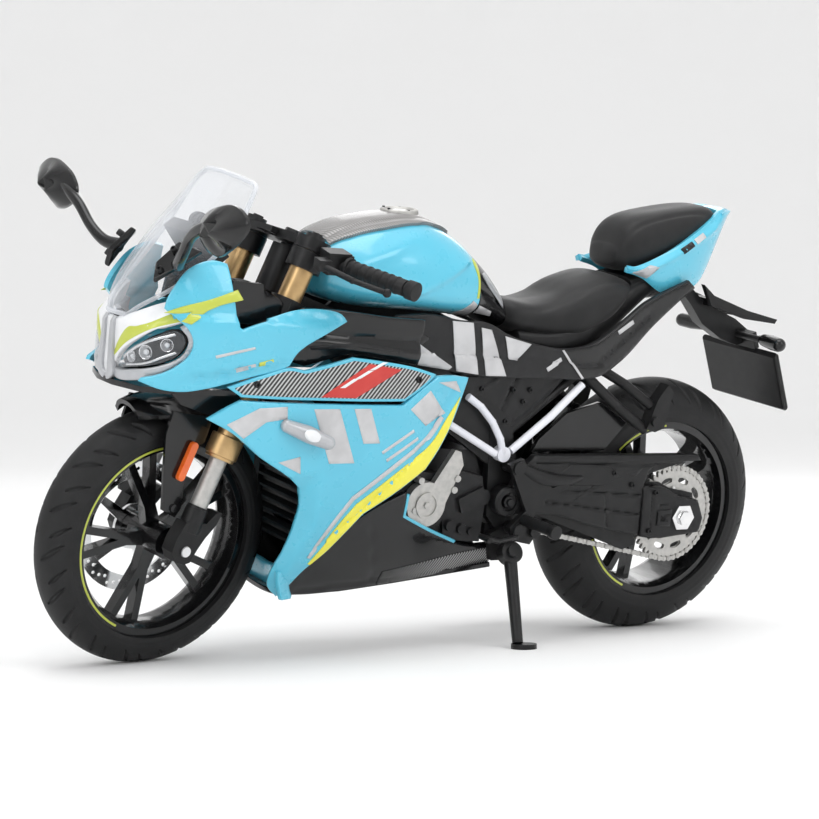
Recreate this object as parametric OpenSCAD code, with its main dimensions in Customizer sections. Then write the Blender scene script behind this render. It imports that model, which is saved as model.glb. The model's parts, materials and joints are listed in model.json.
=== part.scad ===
// Miniature sport motorcycle standing on its side stand.
// Everything is drawn upright with the steering straight (X forward, Y to the
// rider's left, Z up, wheels on z = 0) and then leaned over and steered.

/* [Stance] */
// Lean to the left on the side stand, degrees
lean = 10.8; // [9.8:0.1:11.8]
// Bars turned to the left at rest, degrees
steer_rest = 8.7; // [0:0.1:12]

/* [Wheels] */
// Distance between the two axles
wheelbase = 114.2; // [112:0.1:116]
// Front tyre outer radius
front_r = 24.14; // [23.8:0.01:24.3]
// Front tyre width
front_w = 9.2; // [8:0.1:9.6]
// Rear tyre outer radius
rear_r = 26.6; // [26:0.01:26.8]
// Rear tyre width
rear_w = 13.6; // [12:0.1:14]
// Number of split spokes in each rim
spokes = 5; // [4:1:6]
// Radius of both axle pins
axle_r = 1.0; // [0.8:0.05:1.2]
// Running clearance on radius between pin and hub
play = 0.05; // [0.02:0.01:0.08]

/* [Fork] */
// Rake of the fork legs from vertical, degrees
rake = 21.2; // [20.5:0.1:22]
// Sideways distance of each fork leg from the middle
fork_y = 8.9; // [8.6:0.1:9.2]
// Outer tube radius
outer_tube_r = 2.25; // [2:0.05:2.4]
// Inner tube radius
inner_tube_r = 1.65; // [1.4:0.05:1.8]
// Steering axis lies this far behind the legs
clamp_offset = 2.2; // [2:0.1:2.4]

/* [Bodywork] */
// Largest half width of the fairing
fairing_half = 18; // [17:0.1:19]
// Thickness of the moulded panels
panel_t = 1.1; // [0.8:0.1:1.2]
// Half width of the fuel tank
tank_half = 12.5; // [11.5:0.1:13]

/* [Hidden] */

$fn = 48;
e = 0.01;
fx = wheelbase / 2;           // front axle x
fz = front_r - 0.19;          // front axle z
rx = -wheelbase / 2;          // rear axle x
rz = rear_r;                  // rear axle z
shift = [1.8, -16.15, 0.12];    // puts the origin under the middle of the leaned model
na = 12; nb = 8;              // facets along and across the fender and hugger
rim_f = 18.4;
rim_r = 18.4;
up = [-sin(rake), 0, cos(rake)];        // along the fork, upwards
fwd = [cos(rake), 0, sin(rake)];        // square to the fork, forwards
foot = [fx, 0, fz];
stem0 = foot - clamp_offset * fwd;      // a point on the steering axis
pivot = [-13.2, 0, 31];                 // swingarm pivot
stand_p = [-14.4, 13.8, 20.8];              // side stand pivot
stand_tip = [-12.4, 22.6, 4.3];         // centre of its foot

// --- placing ---------------------------------------------------------------
module place() translate(shift) rotate([-lean, 0, 0]) children();
module steered() place() translate(stem0) rotate(a = steer_rest, v = up) translate(-stem0) children();
module both() { children(); mirror([0, 1, 0]) children(); }
// frame on a fork leg: z along the leg with 0 at the axle, x forwards
module leg(y = 0) translate([fx, y, fz]) rotate([0, -rake, 0]) children();

// --- shapes ----------------------------------------------------------------
// side view outline [x, z] made solid between y0 and y1
module side(pts, y0, y1) translate([0, y1, 0]) rotate([90, 0, 0]) linear_extrude(y1 - y0) polygon(pts);
// top view outline [x, y] made solid between z0 and z1
module plan(pts, z0, z1) translate([0, 0, z0]) linear_extrude(z1 - z0) polygon(pts);
// round bar from p to q
module bar(p, q, r, r2 = -1) {
    d = q - p; l = norm(d);
    translate(p) rotate([0, acos(d[2] / l), atan2(d[1], d[0])])
        if (r2 < 0) cylinder(h = l, r = r); else cylinder(h = l, r1 = r, r2 = r2);
}
// round boss across the bike, axis along Y, from y0 to y1
module boss(x, z, r, y0, y1) translate([x, y1, z]) rotate([90, 0, 0]) cylinder(h = y1 - y0, r = r);
module hexnut(x, z, r, y0, y1) translate([x, y1, z]) rotate([90, 0, 0]) cylinder(h = y1 - y0, r = r, $fn = 6);
// chain of bars along a list of points, with round knees
module pipe(pts, r) for (i = [0 : len(pts) - 2]) {
    bar(pts[i], pts[i + 1], r);
    if (i > 0) translate(pts[i]) sphere(r = r * 1.05, $fn = 24);
}
function mix(a, b, t) = a + (b - a) * t;
function sgn(v) = v < 0 ? -1 : 1;
function pw(v, k) = pow(max(v, 0), k);
function tri(a, b, c, d) = [[a, b, c], [a, c, d]];
// closed grid: rows of outer points and rows of inner points
module shell_grid(O, I) {
    n = len(O); m = len(O[0]);
    pts = concat([for (r = O) each r], [for (r = I) each r]);
    function o(i, j) = i * m + j;
    function q(i, j) = n * m + i * m + j;
    faces = concat(
        [for (i = [0 : n - 2], j = [0 : m - 2]) each tri(o(i, j), o(i + 1, j), o(i + 1, j + 1), o(i, j + 1))],
        [for (i = [0 : n - 2], j = [0 : m - 2]) each tri(q(i, j), q(i, j + 1), q(i + 1, j + 1), q(i + 1, j))],
        [for (i = [0 : n - 2]) each tri(o(i, 0), q(i, 0), q(i + 1, 0), o(i + 1, 0))],
        [for (i = [0 : n - 2]) each tri(o(i, m - 1), o(i + 1, m - 1), q(i + 1, m - 1), q(i, m - 1))],
        [for (j = [0 : m - 2]) each tri(o(0, j), o(0, j + 1), q(0, j + 1), q(0, j))],
        [for (j = [0 : m - 2]) each tri(o(n - 1, j), q(n - 1, j), q(n - 1, j + 1), o(n - 1, j + 1))]);
    polyhedron(points = pts, faces = faces);
}
// left side panel between two edges given in side view, on the fairing surface
module skin(A, B, nv, t = panel_t, inset = 0) {
    O = [for (i = [0 : len(A) - 1]) [for (j = [0 : nv]) let(p = mix(A[i], B[i], j / nv)) [p[0], yS(p[0], p[1]) - inset, p[1]]]];
    I = [for (r = O) [for (p = r) [p[0], p[1] - t, p[2]]]];
    shell_grid(O, I);
}
// closed loft through rings, first ring in front
module loft(R) {
    n = len(R); m = len(R[0]);
    faces = concat(
        [for (i = [0 : n - 2], j = [0 : m - 1]) let(k = (j + 1) % m) each tri(i * m + j, (i + 1) * m + j, (i + 1) * m + k, i * m + k)],
        [[for (j = [0 : m - 1]) j]], [[for (j = [m - 1 : -1 : 0]) (n - 1) * m + j]]);
    polyhedron(points = [for (r = R) each r], faces = faces);
}
// ring across the bike at x: bottom zb, top zt, half width w, widest at zm, roundness k
function ring(x, zb, zt, w, zm, k = 2.4, n = 28) = [for (i = [0 : n - 1])
    let(a = 360 * i / n, c = cos(a), s = sin(a))
    [x, w * sgn(c) * pw(abs(c), 2 / k), zm + (s > 0 ? zt - zm : zm - zb) * sgn(s) * pw(abs(s), 2 / k)]];

// half width of the fairing at a point of the side view
function yS(x, z) = fairing_half
    - (x > 30 ? 7.1 * pw((x - 30) / 38, 4.3) : 1.7 * pw((30 - x) / 30, 2))
    - 4 * pw((z - 62) / 14, 2) - 8 * pw((42 - z) / 27, 2.2);
// half width of the seat and tail sides
function yT(x) = 11.2 - 3.4 * pw((-x - 25) / 48, 1.4);

// --- wheels ----------------------------------------------------------------
module tyre(R, w, rim) rotate([90, 0, 0]) rotate_extrude($fn = 96)
    difference() {
        intersection() {
            translate([R - w / 2 - 0.1, 0]) circle(r = w / 2 + 0.1, $fn = 64);
            translate([rim, -w / 2]) square([R - rim, w]);
        }
        translate([rim - 1, -w * 0.36]) square([2.6, w * 0.72]);
    }
module rim_body(rim, w, hub_r, hub_w, disc_side = 1) {
    rotate([90, 0, 0]) difference() {
        union() {
            rotate_extrude($fn = 96) polygon([[rim - 1.5, -w / 2], [rim - 0.06, -w / 2], [rim - 0.06, -w / 2 + 0.9],
                [rim - 1.3, -w / 2 + 1.8], [rim - 1.3, w / 2 - 1.8], [rim - 0.06, w / 2 - 0.9], [rim - 0.06, w / 2],
                [rim - 1.5, w / 2], [rim - 2.4, w / 2 - 2], [rim - 2.4, -w / 2 + 2]]);
            translate([0, 0, -hub_w / 2]) cylinder(h = hub_w, r = hub_r);
            for (i = [0 : spokes - 1]) rotate([0, 0, 360 / spokes * i]) translate([0, 0, -1.2]) linear_extrude(2.4)
                polygon([[0, -1.7], [6.2, -1.2], [rim - 1.8, -3.4], [rim - 1.8, -1.9], [8.2, -0.1], [8.2, 0.1], [rim - 1.8, 1.9],
                    [rim - 1.8, 3.4], [6.2, 1.2], [0, 1.7]]);
        }
        translate([0, 0, -20]) cylinder(h = 40, r = axle_r + play);
    }
}
module disc_plate(r_out, r_in, t, rows) rotate([90, 0, 0]) difference() {
    cylinder(h = t, r = r_out, center = true, $fn = 72);
    cylinder(h = 2 * t, r = r_in, center = true, $fn = 48);
    for (i = [0 : 17], k = [0 : rows - 1]) rotate([0, 0, 20 * i + 7 * k]) translate([r_in + 0.9 + k * (r_out - r_in - 1.6) / rows + 0.3, 0, 0])
        cylinder(h = 2 * t, r = 0.32, center = true, $fn = 16);
}
module front_tyre() color([0.09, 0.09, 0.09]) steered() translate([fx, 0, fz]) tyre(front_r, front_w, rim_f);
module front_rim() color([0.05, 0.05, 0.05]) steered() translate([fx, 0, fz]) rim_body(rim_f, 7.2, 3.0, 11.2);
module front_disc() color("silver") steered() translate([fx, -5.9, fz]) {
    disc_plate(12.4, 9.4, 0.6, 3);
    rotate([90, 0, 0]) difference() {
        union() {
            for (i = [0 : 4]) rotate([0, 0, 72 * i + 36]) translate([0, 0, -0.35]) linear_extrude(0.7) polygon([[2.4, -1.2], [9.5, -0.7], [9.5, 0.7], [2.4, 1.2]]);
            difference() { cylinder(h = 0.7, r = 4.4, center = true); cylinder(h = 2, r = 3.06, center = true); }
        }
        cylinder(h = 3, r = 3.06, center = true);
    }
}
module rear_tyre() color([0.09, 0.09, 0.09]) place() translate([rx, 0, rz]) tyre(rear_r, rear_w, rim_r);
module rear_rim() color([0.05, 0.05, 0.05]) place() translate([rx, 0, rz]) {
    rim_body(rim_r, 12.0, 3.4, 15.6);
    translate([0, -6.9, 0]) difference() { disc_plate(9.2, 6.4, 0.6, 2); }
    rotate([90, 0, 0]) translate([0, 0, 6.55]) difference() {
        union() for (i = [0 : 4]) rotate([0, 0, 72 * i]) linear_extrude(0.7) polygon([[2.8, -1.3], [6.9, -0.8], [6.9, 0.8], [2.8, 1.3]]);
        translate([0, 0, -1]) cylinder(h = 3, r = 2.6);
    }
}

// --- fork and steering -----------------------------------------------------
module fork_inner_tubes() color("silver") steered() both() leg(fork_y) translate([0, 0, 7]) cylinder(h = 38, r = inner_tube_r);
module fork_outer_tubes() color([0.72, 0.56, 0.36]) steered() both() leg(fork_y) difference() {
    union() {
        translate([0, 0, 21]) cylinder(h = 39, r = outer_tube_r);
        translate([0, 0, 18.2]) cylinder(h = 3.8, r = 3.05);
        translate([0, 0, 17.6]) cylinder(h = 0.7, r = 2.7);
    }
    translate([0, 0, 10]) cylinder(h = 39, r = inner_tube_r + play);
}
module fork_feet() color([0.06, 0.06, 0.06]) steered() both() leg(fork_y) difference() {
    union() {
        translate([0, 0, 3.4]) cylinder(h = 4.6, r = 2.1);
        translate([0, 0, 7.6]) cylinder(h = 0.8, r = 2.0);
        translate([0, 1.6, 0]) rotate([90, 0, 0]) linear_extrude(3.2) polygon([[-2.2, -1.6], [-1, -2.4], [1.2, -2.4], [2.6, -1], [2.8, 1.4], [2.2, 5], [-2.2, 6], [-3.4, 8.6], [-4.6, 8.8], [-4.4, 6.4], [-3.2, 3.4], [-2.6, 1]]);
    }
    translate([0, 5, 0]) rotate([90, 0, 0]) cylinder(h = 10, r = axle_r + 0.01);
    translate([0, 0, 8.2]) cylinder(h = 3, r = inner_tube_r + 0.01);
    translate([0, 0, 7]) cylinder(h = 3, r = inner_tube_r + 0.01);
}
module front_axle() color([0.8, 0.8, 0.78]) steered() translate([fx, 0, fz]) rotate([90, 0, 0]) {
    translate([0, 0, -10.9]) cylinder(h = 21.6, r = axle_r);
    translate([0, 0, -11.1]) cylinder(h = 0.6, r = 0.95);
    translate([0, 0, 10.6]) cylinder(h = 0.9, r = 1.7, $fn = 6);
}
// fender over the tyre: hoop of shell, then a stay down each leg
function hoop(r, wf, i, j) = let(a = 70 + 66 * i / na, b = -1 + 2 * j / nb, s = 1 - 0.45 * pw((86 - a) / 16, 2),
        rr = r + 0.6 * pw((86 - a) / 16, 1.6) - 2.2 * pw(abs(b), 3)) [fx + rr * cos(a + 0) , wf * s * b, fz + rr * sin(a)];
module front_fender() color([0.04, 0.04, 0.04]) steered() {
    difference() {
        shell_grid([for (i = [0 : na]) [for (j = [0 : nb]) hoop(26.8, 6.7, i, j)]],
            [for (i = [0 : na]) [for (j = [0 : nb]) hoop(25.9, 5.9, i, j)]]);
        both() leg(fork_y) translate([0, 0, 15]) cylinder(h = 30, r = outer_tube_r + 0.1);
    }
    both() {
        side([[fx - 5.4, fz + 23.8], [fx + 3.5, fz + 25.2], [fx + 4.6, fz + 21.0], [fx + 4.2, fz + 14.2], [fx + 3.6, fz + 7.0],
            [fx + 0.6, fz + 5.4], [fx - 0.5, fz + 7.0], [fx - 0.8, fz + 13.0], [fx - 2.8, fz + 18.5], [fx - 4.1, fz + 19.2]], 6.55, 7.2);
        boss(fx + 1.2, fz + 7.2, 0.75, 6.6, 7.6);
    }
}
module reflectors() color([0.9, 0.32, 0.12]) steered() both() leg(0)
    translate([5.6, 7.28, 15]) { translate([0, 0.5, 0]) cube([1.5, 1.1, 6], center = true);
        for (s = [-1, 1]) translate([0, 1.05, 3 * s]) rotate([90, 0, 0]) cylinder(h = 1.1, r = 0.75); }
module front_caliper() color([0.07, 0.07, 0.07]) steered() leg(0) {
    difference() {
        translate([-9.6, -5.9, 7.8]) rotate([0, -38, 0]) cube([8.2, 4.2, 4.6], center = true);
        translate([0, -5.9, 0]) rotate([90, 0, 0]) cylinder(h = 0.9, r = 12.8, center = true);
    }
    for (s = [0, 1]) translate([-7.6 - s * 3.2, -8.1, 10 - 4.4 * s]) rotate([90, 0, 0]) cylinder(h = 0.7, r = 1.4);
}
module bottom_clamp() color([0.05, 0.05, 0.05]) steered() leg(0) {
    difference() {
        union() {
            translate([-0.6, 0, 46.4]) linear_extrude(2.2) polygon([[-3.2, -4], [2.2, -12], [3.4, -8], [3.4, 8], [2.2, 12], [-3.2, 4]]);
            for (s = [-1, 1]) translate([0, s * fork_y, 45.9]) cylinder(h = 3.2, r = 3.3);
        }
        for (s = [-1, 1]) translate([0, s * fork_y, 40]) cylinder(h = 20, r = outer_tube_r + 0.01);
    }
    translate([-clamp_offset, 0, 48.4]) cylinder(h = 10.4, r = 1.5);
}
module top_clamp() color([0.05, 0.05, 0.05]) steered() leg(0) {
    difference() {
        union() {
            translate([-0.6, 0, 58.9]) linear_extrude(1.7) polygon([[-4.2, -3.4], [-2.8, -10.6], [0, -12.2], [2.8, -11], [3.6, -4], [3.6, 4], [2.8, 11], [0, 12.2], [-2.8, 10.6], [-4.2, 3.4]]);
            for (s = [-1, 1]) translate([0, s * fork_y, 58.6]) cylinder(h = 2.3, r = 3.2);
        }
        for (s = [-1, 1]) translate([0, s * fork_y, 50]) cylinder(h = 10.02, r = outer_tube_r + 0.01);
        translate([-clamp_offset, 0, 50]) cylinder(h = 8.85, r = 1.6);
    }
    translate([-clamp_offset, 0, 60.5]) cylinder(h = 1.2, r = 1.9, $fn = 6);
    for (s = [-1, 1]) translate([0, s * fork_y, 60.8]) { cylinder(h = 0.9, r = 1.9); translate([0, 0, 0.8]) cylinder(h = 0.5, r = 1.1, $fn = 6); }
    translate([3.2, -2.2, 59.2]) cube([1.6, 4.4, 1.1]);
}
bar0 = [36.9, 11.4, 78.3];
bar1 = [30.9, 32.6, 76.3];
module clip_on_bars() color([0.05, 0.05, 0.05]) steered() both() {
    difference() {
        union() {
            leg(fork_y) translate([0, 0, 55.0]) cylinder(h = 3.5, r = 3.3);
            pipe([[36.1, 11.4, 76.6], mix(bar0, bar1, 0.12), mix(bar0, bar1, 0.97)], 0.95);
        }
        leg(fork_y) translate([0, 0, 40]) cylinder(h = 30, r = outer_tube_r + 0.01);
    }
    difference() {                       // switch box around the bar
        translate(mix(bar0, bar1, 0.22)) rotate([-4, 0, -15]) translate([0, -0.3, 0.2]) cube([4.4, 4.4, 4.0], center = true);
        bar(mix(bar0, bar1, -0.3), mix(bar0, bar1, 1.2), 0.96);
    }
    translate(mix(bar0, bar1, 0.22)) rotate([-4, 0, -15]) translate([-2.5, 0, 1.0]) cube([0.9, 2.6, 1.4], center = true);
}
module grips() color([0.06, 0.06, 0.06]) steered() both() difference() {
    union() {
        bar(mix(bar0, bar1, 0.36), mix(bar0, bar1, 0.93), 1.5);
        bar(mix(bar0, bar1, 0.345), mix(bar0, bar1, 0.375), 1.9);
        for (i = [0 : 6]) bar(mix(bar0, bar1, 0.41 + 0.07 * i), mix(bar0, bar1, 0.43 + 0.07 * i), 1.62);
        bar(mix(bar0, bar1, 0.93), mix(bar0, bar1, 0.95), 1.25);
        bar(mix(bar0, bar1, 0.95), mix(bar0, bar1, 1.03), 1.75);
    }
    bar(mix(bar0, bar1, 0.2), mix(bar0, bar1, 0.975), 0.96);
}
module hand_levers() color([0.07, 0.07, 0.07]) steered() both() {
    p0 = mix(bar0, bar1, 0.29) + [5.0, 0, 0.2];
    p1 = mix(bar0, bar1, 0.60) + [4.6, 0, -0.7];
    p2 = mix(bar0, bar1, 0.90) + [3.6, 0, -1.0];
    bar(p0, p1, 0.55);
    bar(p1, p2, 0.5);
    translate(p1) sphere(r = 0.62, $fn = 24);
    translate(p2) sphere(r = 0.8, $fn = 24);
    translate(p0 + [-0.5, 0, 0]) rotate([-4, 0, -15]) cube([2.4, 2.8, 2.0], center = true);
}

// --- frame, engine and running gear ---------------------------------------
module main_frame() color([0.06, 0.06, 0.06]) place() {
    difference() {
        union() {
            leg(0) translate([-clamp_offset, 0, 49.4]) cylinder(h = 8.9, r = 2.9);
            both() {
                hull() { leg(0) translate([-clamp_offset - 3.4, 2.6, 50.1]) cube([3, 2.2, 2.2], center = true); translate([14, 8.6, 58]) cube([2, 1.8, 9], center = true); }
                hull() { translate([14, 8.6, 58]) cube([2, 1.8, 9], center = true); translate([-12.5, 9.2, 42]) cube([3, 1.8, 10], center = true); }
            }
            both() side([[-9, 45.5], [-9.6, 36.5], [-10.4, 27.6], [-14.8, 22.8], [-19.8, 23.4], [-18.2, 28], [-17.4, 34.6], [-15.2, 41.4], [-14.2, 45.5]], 8.4, 10.2);
            both() pipe([[-14, 9.2, 44], [-33.5, 8.6, 58.4], [-57.4, 4.9, 72.2]], 0.9);
            translate([-13.4, -9, 43.4]) cube([3.0, 18, 2.6]);
            translate([-13.6, -9, 23.4]) cube([2.4, 18, 2.4]);
            translate([-36, -9, 57.6]) cube([2, 18, 2]);
            side([[stand_p[0] - 2.2, stand_p[2] - 2.0], [stand_p[0] + 2.4, stand_p[2] - 2.0], [stand_p[0] + 3.4, stand_p[2] + 3.4], [stand_p[0] - 0.8, stand_p[2] + 5.2]], 9.6, 11.2);
        }
        leg(0) translate([-clamp_offset, 0, 40]) cylinder(h = 30, r = 1.5 + play);
        boss(pivot[0], pivot[2], 1.3 + play, -20, 20);
    }
}
module frame_tubes() color([0.9, 0.9, 0.93]) place() both() {
    pipe([[3.5, 11.6, 47.2], [-9.8, 11.6, 40.3]], 0.75);
    pipe([[-2.0, 11.6, 51.6], [-5.2, 11.7, 49.6], [-8.3, 11.7, 46.6], [-10.6, 11.7, 43.2], [-11.6, 11.6, 40.4]], 0.72);
    pipe([[-13.4, 11.6, 40.8], [-22.4, 11.4, 47.6], [-29.6, 10.9, 53.8]], 0.78);
    boss(-11.6, 40.2, 1.5, 10.2, 12.2);
}
module engine() color([0.08, 0.08, 0.08]) place() difference() {
    union() {
        side([[12, 20.6], [-8.6, 22.2], [-9.2, 36.4], [-7.0, 40.4], [6, 41], [14.5, 33], [15, 24]], -8.2, 8.2);
        side([[6.4, 40.4], [15.5, 32.4], [24.2, 43.6], [15, 51.6]], -7.4, 7.4);
        for (i = [0 : 4]) translate([16.2 + i * 1.75 - 6.4, -7.9, 37.2 + i * 2.2 - 0]) rotate([0, 49, 0]) cube([0.7, 15.8, 11.0]);
        both() side([[-0.2, 24.3], [-2.8, 23.1], [-9.0, 22.6], [-9.4, 30], [-8.2, 35.6], [-2.6, 37.0], [0.6, 30]], 8.3, 10.6);
        side([[13, 22.4], [4, 21.6], [-1, 25], [-1.4, 31], [1.4, 36.4], [7.6, 37], [13.2, 31]], -9.8, 9.8);
        side([[13, 29.6], [8, 27.6], [1, 26.2], [-1.4, 31], [1.4, 36.4], [7.6, 37], [13.2, 31]], -12.0, 10.8);
        both() { boss(-1.4, 26.2, 1.15, 9, 11.6); boss(-4.2, 25.4, 1.0, 9, 11.4); boss(-6.6, 24.8, 0.8, 9, 11.2); }
        boss(-13.2 + 4.8, 31.6, 1.6, 9, 11.4);
        both() side([[-2.6, 31.4], [-8.2, 33.8], [-8.4, 29.8], [-3.6, 28.6]], 10.4, 11.4);
        boss(6, 31.2, 4.2, -12.8, -11.5);
    }
    boss(-3, 44, 1, -30, 30);
}
module engine_cover() color([0.7, 0.7, 0.69]) place() {
    boss(5.7, 30.9, 4.35, 10.9, 12.7);
    difference() { boss(5.7, 30.8, 2.5, 12.6, 13.1); boss(5.7, 30.8, 2.1, 12.8, 13.3); }
    hexnut(5.7, 30.8, 0.7, 12.6, 13.2);
    side([[4.6, 34.6], [0.2, 41.4], [-1.2, 41.0], [-2.0, 38.4], [1.2, 31.2], [2.2, 28.2], [6, 28]], 11.2, 12.6);
    for (p = [[7.4, 35.6], [-0.9, 35.8], [-0.4, 33.6], [8.2, 29.8]]) boss(p[0], p[1], 0.65, 11.0, 12.9);
}
module radiator() color([0.06, 0.06, 0.06]) place() {
    translate([26.4, -10.6, 21.8]) cube([3, 21.2, 26.2]);
    for (i = [0 : 11]) translate([29.2, -8.8, 23 + 2.05 * i]) rotate([0, 24, 0]) cube([1.3, 17.6, 0.6]);
    both() translate([26.6, 8.8, 22]) cube([3.9, 2.1, 25.6]);
}
module exhaust() color([0.12, 0.12, 0.12]) place() {
    pipe([[23.4, -4.2, 35], [20.2, -4.2, 19.4], [-16.2, -3.6, 18.2], [-22.6, -16.0, 20.0]], 1.4);
    translate([-22.6, -16.0, 20.0]) sphere(r = 1.9, $fn = 24);
    bar([-22.2, -17.2, 20.6], [-46, -18.4, 28.0], 3.1, 3.7);
    difference() { bar([-45.9, -18.4, 28.0], [-50, -18.6, 29.2], 2.4); bar([-47, -18.45, 28.3], [-51, -18.65, 29.5], 1.9); }
}
module swingarm() color([0.09, 0.09, 0.09]) place() difference() {
    union() {
        both() {
            side([[-15.4, 29], [-15.6, 33.6], [-19.4, 39.6], [-60.4, 39.4], [-60.4, 38.2], [-49, 35.2], [-48, 28.5], [-30, 30.4], [-20.5, 29]], 10.9, 12.9);
            side([[-17, 33.6], [-24, 34.8], [-46.6, 31.4], [-47.6, 20.4], [-44.6, 19.6], [-22, 27.6], [-16.4, 28.4]], 10.9, 12.5);
            side([[-46, 33.6], [-46, 22.6], [-52, 21.6], [-61.6, 22.2], [-63, 26], [-61.4, 31], [-55, 32.2], [-52, 33.6]], 10.9, 13.1);
            side([[-24, 37.6], [-33, 38.2], [-41, 36.0], [-38, 33.2], [-26, 33.6]], 12.8, 13.2);
        }
        both() boss(pivot[0] - 0.0, pivot[2], 3.0, 10.4, 12.9);
        both() side([[-13.2, 28.1], [-16, 28.8], [-18, 30.4], [-17, 33.6], [-13.2, 33.9]], 10.4, 12.4);
        translate([-29.6, -11, 29.0]) cube([3.2, 22, 4.4]);
        both() side([[-29.4, 26.4], [-23.4, 26.4], [-23.4, 28.8], [-26.8, 28.8], [-26.8, 31.4], [-29.4, 31.4]], 1.25, 2.4);
    }
    boss(rx, rz, axle_r + 0.01, -20, 20);
    boss(pivot[0], pivot[2], 1.3 + play, -20, 20);
    both() side([[-41.2, 37.3], [-45.4, 37.7], [-42.4, 35.6]], 12.5, 14);
    boss(-24.9, 27.8, 0.65, -6, 6);
}
module chain_and_sprocket() color([0.72, 0.72, 0.71]) place() {
    difference() {
        union() {
            translate([rx, 9.8, rz]) rotate([90, 0, 0]) cylinder(h = 0.8, r = 9.0, center = true, $fn = 96);
            for (i = [0 : 35]) translate([rx, 9.8, rz]) rotate([0, 10 * i, 0]) translate([9.5, 0, 0]) cube([1.5, 1.5, 1.15], center = true);
        }
        translate([rx, 9.8, rz]) rotate([90, 0, 0]) cylinder(h = 4, r = 3.3, center = true);
        for (i = [0 : 4]) translate([rx, 9.8, rz]) rotate([0, 72 * i + 20, 0]) rotate([90, 0, 0]) translate([0, 0, -2]) linear_extrude(4)
            polygon([[4.4, -1.1], [6.9, -2.3], [7.3, 0], [6.9, 2.3], [4.4, 1.1]]);
    }
    for (i = [0 : 18]) translate(mix([rx + 2.5, 9.8, rz - 9.4], [-20.8, 9.8, rz - 2.05], (i + 0.5) / 19)) rotate([0, -11.4, 0]) cube([1.5, 1.5, 1.15], center = true);
    for (i = [0 : 18]) translate(mix([rx + 1.0, 9.8, rz + 9.5], [-20.8, 9.8, rz + 7.75], (i + 0.5) / 19)) rotate([0, 2.6, 0]) cube([1.5, 1.5, 1.15], center = true);
    bar([rx + 2.0, 9.8, rz - 9.45], [-20.8, 9.8, rz - 2.05], 0.35);
    bar([rx, 9.8, rz + 9.5], [-20.8, 9.8, rz + 7.75], 0.35);
}
module rear_axle() color([0.35, 0.35, 0.36]) place() {
    boss(rx, rz, axle_r, -13.9, 13.9);
    both() { hexnut(rx, rz, 2.9, 13.2, 14.2); hexnut(rx, rz, 1.6, 14.1, 15.0); }
    both() side([[-51.2, 27.4], [-54, 27.6], [-54, 25.6], [-51.2, 25.8]], 13.15, 13.9);
}
function hug(r, w, i, j) = let(a = 16 + 30 * i / na, b = -1 + 2 * j / nb) [rx + (r - 2.6 * pw(abs(b), 3)) * cos(a), w * b, rz + (r - 2.6 * pw(abs(b), 3)) * sin(a)];
module rear_hugger() color([0.04, 0.04, 0.04]) place() {
    shell_grid([for (i = [0 : na]) [for (j = [0 : nb]) hug(29.8, 8.4, i, j)]], [for (i = [0 : na]) [for (j = [0 : nb]) hug(28.8, 7.6, i, j)]]);
    both() side([[-20.5, 39.9], [-38.5, 39.9], [-43.5, 45.6], [-36, 49.8], [-28, 47.6], [-21.8, 42.4]], 8.1, 9.1);
}
// shock: body on the frame, rod on the swingarm
shock_t = [-15.4, 0, 47];
shock_b = [-24.9, 0, 27.8];
shock_d = (shock_b - shock_t) / norm(shock_b - shock_t);
module shock_body() color([0.75, 0.6, 0.2]) place() {
    d = shock_d;
    difference() {
        union() {
            bar(shock_t + 1.2 * d, shock_t + 11.5 * d, 1.5);
            boss(shock_t[0], shock_t[2], 1.8, -1.4, 1.4);
            bar(shock_t + 2.0 * d, shock_t + 3.0 * d, 2.6);
        }
        bar(shock_t + 4 * d, shock_t + 14 * d, 0.85);
    }
}
module shock_rod() color("silver") place() {
    d = shock_d;
    difference() {
        union() {
            bar(shock_t + 7.4 * d, shock_t + 20.3 * d, 0.75);
            bar(shock_t + 17.6 * d, shock_t + 18.6 * d, 2.4);
            boss(shock_b[0], shock_b[2], 1.5, -1.0, 1.0);
        }
        boss(shock_b[0], shock_b[2], 0.85, -2, 2);
    }
}
module side_stand() color([0.06, 0.06, 0.06]) place() {
    d = (stand_tip - stand_p) / norm(stand_tip - stand_p);
    bar(stand_p, stand_tip - 1.0 * d, 1.35, 1.05);
    k = cross(d, [-1, 0.16, 0] / norm([-1, 0.16, 0])); h = k / norm(k);
    bar(stand_p - 1.3 * h, stand_p + 1.3 * h, 2.2);
    bar(stand_p + 1.2 * h, stand_p + 2.1 * h, 1.2);
    intersection() {
        translate(stand_tip + [-1.2, 0.3, -0.3]) rotate([lean, 0, 0]) scale([1, 1, 1]) translate([0, 0, 0]) cylinder(h = 2.4, r = 2.5, center = true);
        translate([-40, 0, -0.12]) rotate([lean, 0, 0]) translate([0, -60, 0]) cube([80, 160, 40]);
    }
}
module rearsets() color([0.07, 0.07, 0.07]) place() both() {
    side([[-11.6, 38.6], [-14.8, 39.8], [-16.2, 37.6], [-22.6, 33.8], [-27, 35.6], [-26.2, 33.4], [-20.6, 31.6], [-18.4, 27.8], [-19.8, 24.6], [-18.4, 22.6], [-14.6, 23.4], [-13.2, 26.2], [-16.6, 29.4], [-13.4, 35.4]], 13.3, 14.5);
    boss(-13.8, 37.9, 1.35, 10.4, 15.0);
    boss(-15.2, 25.6, 1.3, 11.5, 15.2);
    boss(-19.0, 25.2, 1.2, 13.4, 15.4);
    bar([-16.4, 14, 27.6], [-17.6, 22.6, 27.2], 1.15);
    bar([-17.55, 22.4, 27.2], [-17.7, 23.6, 27.15], 1.4);
    pipe([[-14.8, 15.0, 24.4], [-9.6, 16.0, 24.0], [-5.2, 16.4, 25.2], [-4.8, 20, 25.2]], 0.55);
}
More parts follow.
